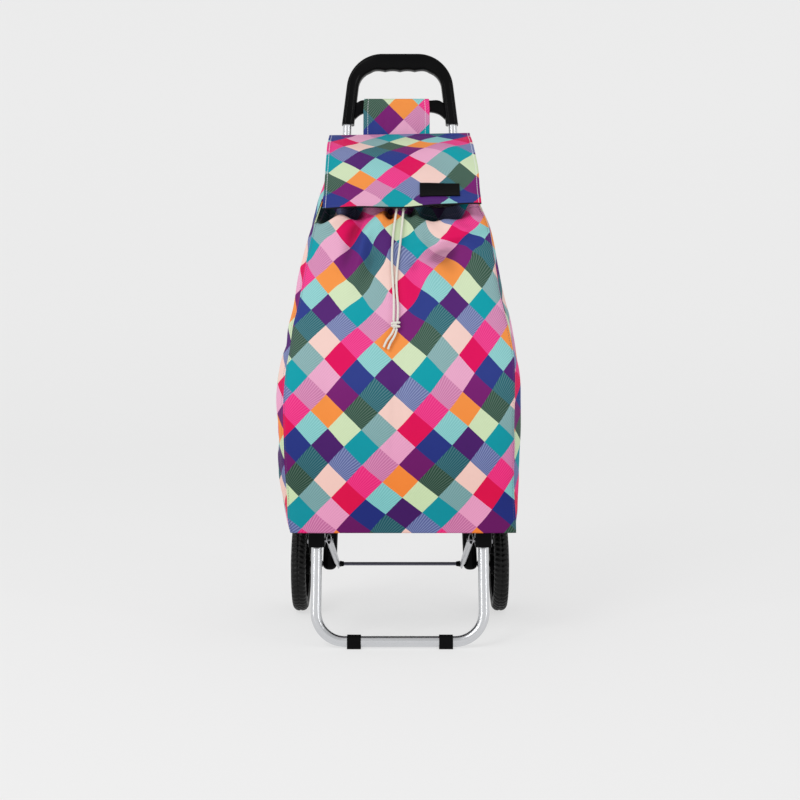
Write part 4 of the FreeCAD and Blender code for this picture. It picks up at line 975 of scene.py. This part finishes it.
# Soft ridges: place across and down from the seam, turn, length, width, height.
FLAP_WAVES = [
    (-.035, .06, 12, .05, .016, .0016), (.07, .066, -8, .04, .016, .0012),
    (-.09, .1, 20, .035, .018, .003), (.02, .115, -18, .06, .018, .003),
    (.095, .13, 60, .05, .014, .003), (-.02, .165, 10, .07, .014, .002),
]
FLAP_PULLS = [
    (-.118, .085, -2.8, -8.6), (-.095, .113, -5.5, -7.2), (-.067, .093, -2, -8.6),
    (-.087, .064, 3.7, -8.6), (-.04, .07, -2, -4.3), (-.058, .044, 5.5, -1.4),
    (.0165, .134, 2, 11), (.043, .111, 3.7, 10), (.0175, .079, 3.7, 3), (-.01, .105, 1, 3),
    (.069, .143, 4.6, 10), (.1, .113, 8, 1.4), (.077, .079, 7.4, 0), (-.0685, .14, -5.5, -1.4),
    (-.041, .127, -2.8, 3), (-.017, .149, -3.7, 7), (-.019, .195, -7, -9), (.03, .198, -6, -7),
    (-.066, .193, -6, -6),
]


def flap_panel():
    """The flap along its side line from the rear seam, its print and its flat length."""
    rows, columns = 130, 150
    line = np.array(FLAP_LINE)
    run = lengths(line)
    total = run[-1]
    s = np.linspace(0, total, rows)
    y_line = curve_through(list(zip(run, line[:, 0])), s, 0.010)
    z_line = curve_through(list(zip(run, line[:, 1])), s, 0.010)
    part, share = net(rows, columns, 0, 1, -1, 1)
    x = widen(share, curve_through(FLAP_LEFT, part[:, 0], 0.05),
              curve_through(FLAP_RIGHT, part[:, 0], 0.05))
    y = y_line[:, None] * np.ones_like(x)
    z = z_line[:, None] * np.ones_like(x) + 0.0024
    points = layers(x, y, z)
    down = part * total
    lift = lumps(x, down, FLAP_WAVES) + soft_noise(points, 17, 4.4, 0.003)
    sag = 0.004 * np.exp(-((down - 0.090) / 0.04) ** 2) * (1 - share ** 2)
    from_edge = least((1 - np.abs(share)) * 0.12, total - down, 0.02)
    lift += 0.0012 * rise(-from_edge, -0.007, -0.005)
    lift = np.maximum(lift, -0.0004) * rise(down, 0.01, 0.11) - sag
    normal = -normals_of(points)
    points = points + normal * lift[..., None]
    end = rise(part, 0.80, 1.0)
    points[..., 2] += end * (0.0040 * share - 0.0012 * np.cos(share * 5.2))
    ridge = rise(part, 0.0, 0.03) * (1 - rise(part, 0.04, 0.11))
    points[..., 2] += (0.0022 + 0.0024 * share) * ridge
    points[..., 1] -= end * (0.0040 + 0.0030 * np.abs(share))
    u = from_middle(points)
    v = running_length(points, 0)
    v = v[-1:, :] - v
    sides = np.minimum(u - u[:, :1], u[:, -1:] - u)
    seam = layers(sides, v)
    # the print is askew from the way the flap was cut and pulled
    askew = 0.008 * rise(-x, -0.02, 0.09) * rise(v, 0.10, 0.18) * (1 - rise(v, 0.225, 0.245))
    askew -= 0.011 * rise(x, 0.02, 0.08) * np.exp(-((v - 0.125) / 0.04) ** 2)
    pulled = 0.007 * rise(x, 0.0, 0.08) * (1 - rise(v, 0.05, 0.11))
    pulled += 0.006 * rise(-v, -0.07, -0.01)
    hem = 0.3 * np.maximum(0.030 - v, 0)
    aside, up = pull(x, v, FLAP_PULLS, 0.018)
    cloth = layers(u - (pulled + aside), v + (askew - up) + hem)
    return points[::-1], cloth[::-1], seam[::-1], float(total)


flap_points, flap_cloth, flap_seam, flap_length = flap_panel()
flap = grid_piece("flap_cloth", flap_points, flap_cloth, flap_seam,
                  [looks["flap_print"], looks["lining"]], HEMMED, 0.0)
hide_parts("flap_panel")
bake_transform(flap)


def label_piece():
    """Bare woven label that follows the flap, with a turned edge all round."""
    rows, columns = 24, 50
    low, high, left, right = 0.0270, 0.0595, 0.0315, 0.0950
    v, x = net(rows, columns, low, high, left, right)
    normal = normals_of(flap_points)
    points = np.zeros((rows, columns, 3))
    for r in range(rows):
        for c in range(columns):
            row = int(np.argmin(np.abs(flap_cloth[:, 75, 1] - v[r, c])))
            col = int(np.argmin(np.abs(flap_points[row, :, 0] - x[r, c])))
            points[r, c] = flap_points[row, col] + normal[row, col] * 0.0017
            points[r, c, 0] = x[r, c]
    edge = least(x - left, right - x, v - low, high - v)
    out = 0.0004 * rise(-edge, -0.004, -0.003)
    points += normal.mean(axis=(0, 1)) * out[..., None]
    for _ in range(3):
        inner = (points[:-2, 1:-1] + points[2:, 1:-1] + points[1:-1, :-2] + points[1:-1, 2:]) / 4
        points[1:-1, 1:-1, 1:] = inner[..., 1:]
    cloth = layers(x, v)
    seam = layers(edge, x)
    return grid_piece("label_cloth", points, cloth, seam, [looks["label"]], 0.0008, 1.0)


label = label_piece()
stand_in(label, "flap_label", "flap")


# ---- tab over the bridge -------------------------------------------------------------

TAB_MIDDLE = -0.006


def tab_panel():
    """Wide loop of cloth over the bridge: front, top and back of one strip."""
    inner, low, high, bend = 0.0084, -0.018, 0.0440, 0.004
    path = np.array([
        (-inner - 0.0014, low - 0.008), (-inner - 0.0010, low + 0.03), (-inner, high - bend),
        (-inner + bend * 0.35, high - bend * 0.3), (-inner + bend, high), (0, high + 0.0006),
        (inner - bend, high), (inner - bend * 0.35, high - bend * 0.3), (inner, high - bend),
        (inner + 0.0008, low + 0.03), (inner + 0.0010, low)])
    run = lengths(path)
    rows, columns = 110, 90
    s = np.linspace(0, run[-1], rows)
    depth = curve_through(list(zip(run, path[:, 0])), s, 0.0015)
    up = curve_through(list(zip(run, path[:, 1])), s, 0.0015)
    v, share = net(rows, columns, 0, run[-1], -1, 1)
    middle_up = up[:, None] * np.ones_like(v)
    narrow = 1 - 0.02 * np.exp(-((middle_up - high) / 0.012) ** 2)
    x = TAB_MIDDLE + share * 0.057 * narrow
    wave = 0.0008 * np.sin(share * 9) * rise(-middle_up, -0.03, 0.01)
    points = np.array([[leaning(x[r, c], TUBE_TOP + up[r], depth[r] - abs(wave[r, c]))
                        for c in range(columns)] for r in range(rows)])
    cloth = layers(x, v)
    sides = np.minimum(x - x[:, :1], x[:, -1:] - x)
    seam = layers(sides, v)
    return points, cloth, seam, float(run[-1])


tab_points, tab_cloth, tab_seam, tab_length = tab_panel()
tab = grid_piece("tab_cloth", tab_points, tab_cloth, tab_seam,
                 [looks["tab_print"], looks["lining"]], CLOTH, 0.0)
stand_in(tab, "bag_tab")


# ---- handle --------------------------------------------------------------------------

FINGER = 0.0255                     # spacing of the hollows under the grip


def swept(name, material, rows, ring, place):
    """Section swept along rows, with flat ends; place gives a row's point at a cosine and
    a sine around it."""
    angles = [2 * math.pi * (k + 0.5) / ring for k in range(ring)]
    verts = [place(row, math.cos(a), math.sin(a)) for row in range(rows) for a in angles]
    faces = strips(rows, ring, flip=True) + caps(rows, ring, flip=True)
    return mesh_piece(name, verts, faces, material, flat_faces=2)


def blunt(value, power):
    """A cosine or sine pushed outwards, for sections between an ellipse and a box."""
    return math.copysign(abs(value) ** power, value)


def handle_piece():
    """The loop as a swept section: ribs along the arms, hollows under the grip."""
    foot, top, height = 0.1005, 0.0848, 0.122
    foot_in, top_in, under = 0.079, 0.0678, 0.0925

    def rounded(corners, radius):
        """Contour: up the side, round the corner, along to the middle and the same back."""
        side_points, arc_points, top_points = 26, 30, 20
        a, b, c = [Vector(p) for p in corners]
        back, ahead = (a - b).normalized(), (c - b).normalized()
        turn = math.pi - back.angle(ahead)
        set_back = radius * math.tan(turn / 2)
        first, last = b + back * set_back, b + ahead * set_back
        bisector = (back + ahead).normalized()
        centre = b + bisector * (radius / math.cos(turn / 2))
        line = [a.lerp(first, k / side_points) for k in range(side_points)]
        start = first - centre
        for k in range(arc_points + 1):
            angle = -turn * k / arc_points
            line.append(centre + Vector((start.x * math.cos(angle) - start.y * math.sin(angle),
                                         start.x * math.sin(angle) + start.y * math.cos(angle))))
        line += [last.lerp(c, (k + 1) / top_points) for k in range(top_points)]
        return line + [Vector((-p.x, p.y)) for p in line[-2::-1]]

    outer = rounded([(-foot, 0), (-top, height), (0, height)], 0.062)
    inner = rounded([(-foot_in, 0), (-top_in, under), (0, under)], 0.032)
    rows = []
    for o, n in zip(outer, inner):
        arm = 1 - float(rise(n.y, 0.060, 0.095))
        if n.y > under - 0.006 and abs(n.x) < 0.056:
            finger = n.x / FINGER
            hollow = finger + 2 - math.floor(finger + 2) - 0.5
            fade = float(rise(-abs(n.x), -0.054, -0.047))
            n.y += 0.0019 * (1 - (2 * hollow) ** 2) * fade - 0.0002
        rows.append(((o + n) / 2, (o - n) / 2, arm))

    def place(row, cos, sin):
        middle, half, arm = rows[row]
        w, h = blunt(cos, 0.42), blunt(sin, 0.50)
        groove = sum(math.exp(-((w - g) / 0.13) ** 2) for g in (-0.36, 0.36))
        centre_rib = math.exp(-(w / 0.16) ** 2)
        h *= 1 - (0.24 * groove - 0.04 * centre_rib) * arm
        h *= 1 - 0.10 * w * w
        point = middle + half * w
        return leaning(point.x, TUBE_TOP + point.y, 0.0118 * h)

    return swept("handle_grip", looks["handle"], len(rows), 56, place)


def bridge_piece():
    """Cross piece of the handle: level inside the tab, bending down into both arms."""
    rows = 91
    x = np.linspace(-0.0815, 0.0815, rows)
    middle = curve_through([(0, 0.7912), (0.054, 0.7912), (0.063, 0.7908), (0.070, 0.7885),
                            (0.078, 0.7815), (0.083, 0.777)], np.abs(x), 0.003)
    half = curve_through([(0, 0.0098), (0.054, 0.0098), (0.064, 0.0114), (0.083, 0.0135)],
                         np.abs(x), 0.003)

    def place(row, cos, sin):
        return leaning(x[row], middle[row] + half[row] * blunt(cos, 0.4),
                       0.0070 * blunt(sin, 0.4))

    return swept("bridge", looks["plastic"], rows, 28, place)


stand_in(handle_piece(), "handle")
stand_in(bridge_piece(), "handle_bridge")


# ---- tyres ---------------------------------------------------------------------------

BLOCKS = 54                         # around a tyre


def tyre_piece(side, word):
    """Tyre with rounded shoulders and rows of slanted blocks on its tread."""
    middle = side * TYRE_MIDDLE
    half, seat = 0.0125, 0.065
    around, across = 288, 30
    verts = []
    for i in range(around):
        turn = 2 * math.pi * i / around
        for k in range(across):
            t = -1 + 2 * k / (across - 1)
            slant = 3 * t if t * side > 0 else -3 * t
            gap = float(rise(math.sin(turn * BLOCKS + slant), 0.0, 0.6))
            cut = 0.0022 * gap + 0.0014 * math.exp(-(t / 0.09) ** 2)
            edge = abs(t) ** 3.2
            radius = TYRE_RADIUS - 0.0062 * edge - cut * (1 - 0.2 * edge)
            wide = half * (1 - (0.03 + 0.07 * gap) * edge)
            verts.append((middle + t * wide, radius, turn))
        for t, radius in ((1.0, 0.0700), (0.96, 0.0665), (0.9, seat), (-0.9, seat),
                          (-0.96, 0.0665), (-1.0, 0.0700)):
            verts.append((middle + t * half, radius, turn))
    places = [(x, AXLE.y + r * math.sin(a), AXLE.z - r * math.cos(a)) for x, r, a in verts]
    obj = mesh_piece("tyre_" + word, places,
                     strips(around, len(verts) // around, loop=True, flip=True), looks["tyre"])
    stand_in(obj, "wheel_tyre_" + word, "wheel_" + word)


for side, word in SIDES:
    tyre_piece(side, word)


# ---- loops on the tubes --------------------------------------------------------------

def tube_place(side, up):
    """Middle of a long tube, which leans inwards, at a distance from the axle."""
    return leaning(side * (TUBE_FEET + (TUBE_HEADS - TUBE_FEET) * up / TUBE_TOP), up)


def loops_piece():
    """Four cloth sleeves around the leaning tubes, sewn to the bag's back."""
    pieces = []
    for side, _ in SIDES:
        for start in (0.170, 0.500):
            rows, columns = 24, 40
            points = np.zeros((rows, columns, 3))
            for r in range(rows):
                part = r / (rows - 1)
                middle = tube_place(side, start + 0.040 * part)
                for c in range(columns):
                    a = 2 * math.pi * c / columns
                    radius = 0.0092 + 0.0006 * math.cos(3 * a + 5 * part)
                    radius += 0.0007 * (abs(part - 0.5) > 0.42)
                    points[r, c] = (middle.x + radius * math.cos(a) * 1.04,
                                    middle.y + radius * math.sin(a), middle.z)
            flat = layers(points[..., 0], points[..., 2])
            pieces.append(grid_piece("loop", points, flat, flat * 0 + 0.05,
                                     [looks["black_cloth"]], 0.0012, 0.0, wrap=True))
    return join("bag_loops_cloth", pieces)


stand_in(loops_piece(), "bag_loops")


# ---- materials of the CAD nodes ------------------------------------------------------

FINISH = {
    "aluminium": "main_tube_left main_tube_right stand_tube",
    "aluminium_across": "cross_tube_low cross_tube_high",
    "aluminium_dull": "base_rail_left base_rail_right",
    "steel": "axle_nuts handle_screws stand_pin_left stand_pin_right eyelets",
    "dark_steel": "axle",
    "plastic": "axle_bearing_left axle_bearing_right front_joint_left front_joint_right "
               "hub_cap_left hub_cap_right",
    "plastic_rough": "axle_spacers axle_collars stand_plug_left stand_plug_right "
                     "wheel_rim_left wheel_rim_right wheel_bush_left wheel_bush_right",
    "rubber": "stand_foot_left stand_foot_right",
    "board": "base_board",
}
for look, names in FINISH.items():
    for name in names.split():
        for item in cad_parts[name].material_slots:
            item.link = "OBJECT"
            item.material = looks[look]


# ---- room and light ------------------------------------------------------------------

def backdrop():
    """Round floor that turns up into a wall on all sides, far from the trolley."""
    line = [(0.0, 0.0), (1.5, 0.0), (3.6, 0.0)]
    for k in range(1, 25):
        a = math.pi / 2 * k / 24
        line.append((3.6 + 1.8 * math.sin(a), 1.8 - 1.8 * math.cos(a)))
    line.append((5.4, 2.9))
    around = 96
    verts = [(r * math.sin(2 * math.pi * k / around), r * math.cos(2 * math.pi * k / around), z)
             for r, z in line[1:] for k in range(around)]
    verts.append((0, 0, 0))
    rings = len(line) - 1
    faces = [(len(verts) - 1, k, (k + 1) % around) for k in range(around)]
    s = Shader("paper")
    up = s.spread(s.parts(s.place())[2], 0.0, 0.6)
    tone = s.mix(up, (0.265, 0.265, 0.265, 1), (0.28, 0.28, 0.28, 1))
    tone = s.mix(s.spread(s.noise(2.0, 2), 0, 1, 0, 0.02), tone, (0.2, 0.2, 0.2, 1))
    paper = s.set(base_color=tone, roughness=0.95, specular_ior_level=0.0,
                  emission_color=(1, 1, 1, 1), emission_strength=0.62)
    room = mesh_piece("room", verts, faces + strips(rings, around, flip=True), paper)


def area_light(name, place, size, power):
    """Rectangular soft light that looks at the middle of the trolley."""
    data = bpy.data.lights.new(name, "AREA")
    data.shape = "RECTANGLE"
    data.size, data.size_y = size
    data.energy = power
    obj = add_object(name, data)
    obj.location = place
    aim = Vector((0, 0, 0.6)) - Vector(place)
    obj.rotation_euler = aim.to_track_quat("-Z", "Y").to_euler()


backdrop()
area_light("key", (-1.5, -2.3, 2.7), (1.0, 1.0), 30)
area_light("strip_left", (-2.3, -1.7, 1.45), (0.22, 2.1), 9)
area_light("strip_right", (2.3, -1.9, 1.45), (0.22, 2.1), 8)
world = bpy.data.worlds.new("studio")
bpy.context.scene.world = world
world.use_nodes = True
sky = world.node_tree.nodes["Background"].inputs
sky["Color"].default_value = (1, 1, 1, 1)
sky["Strength"].default_value = 0.58
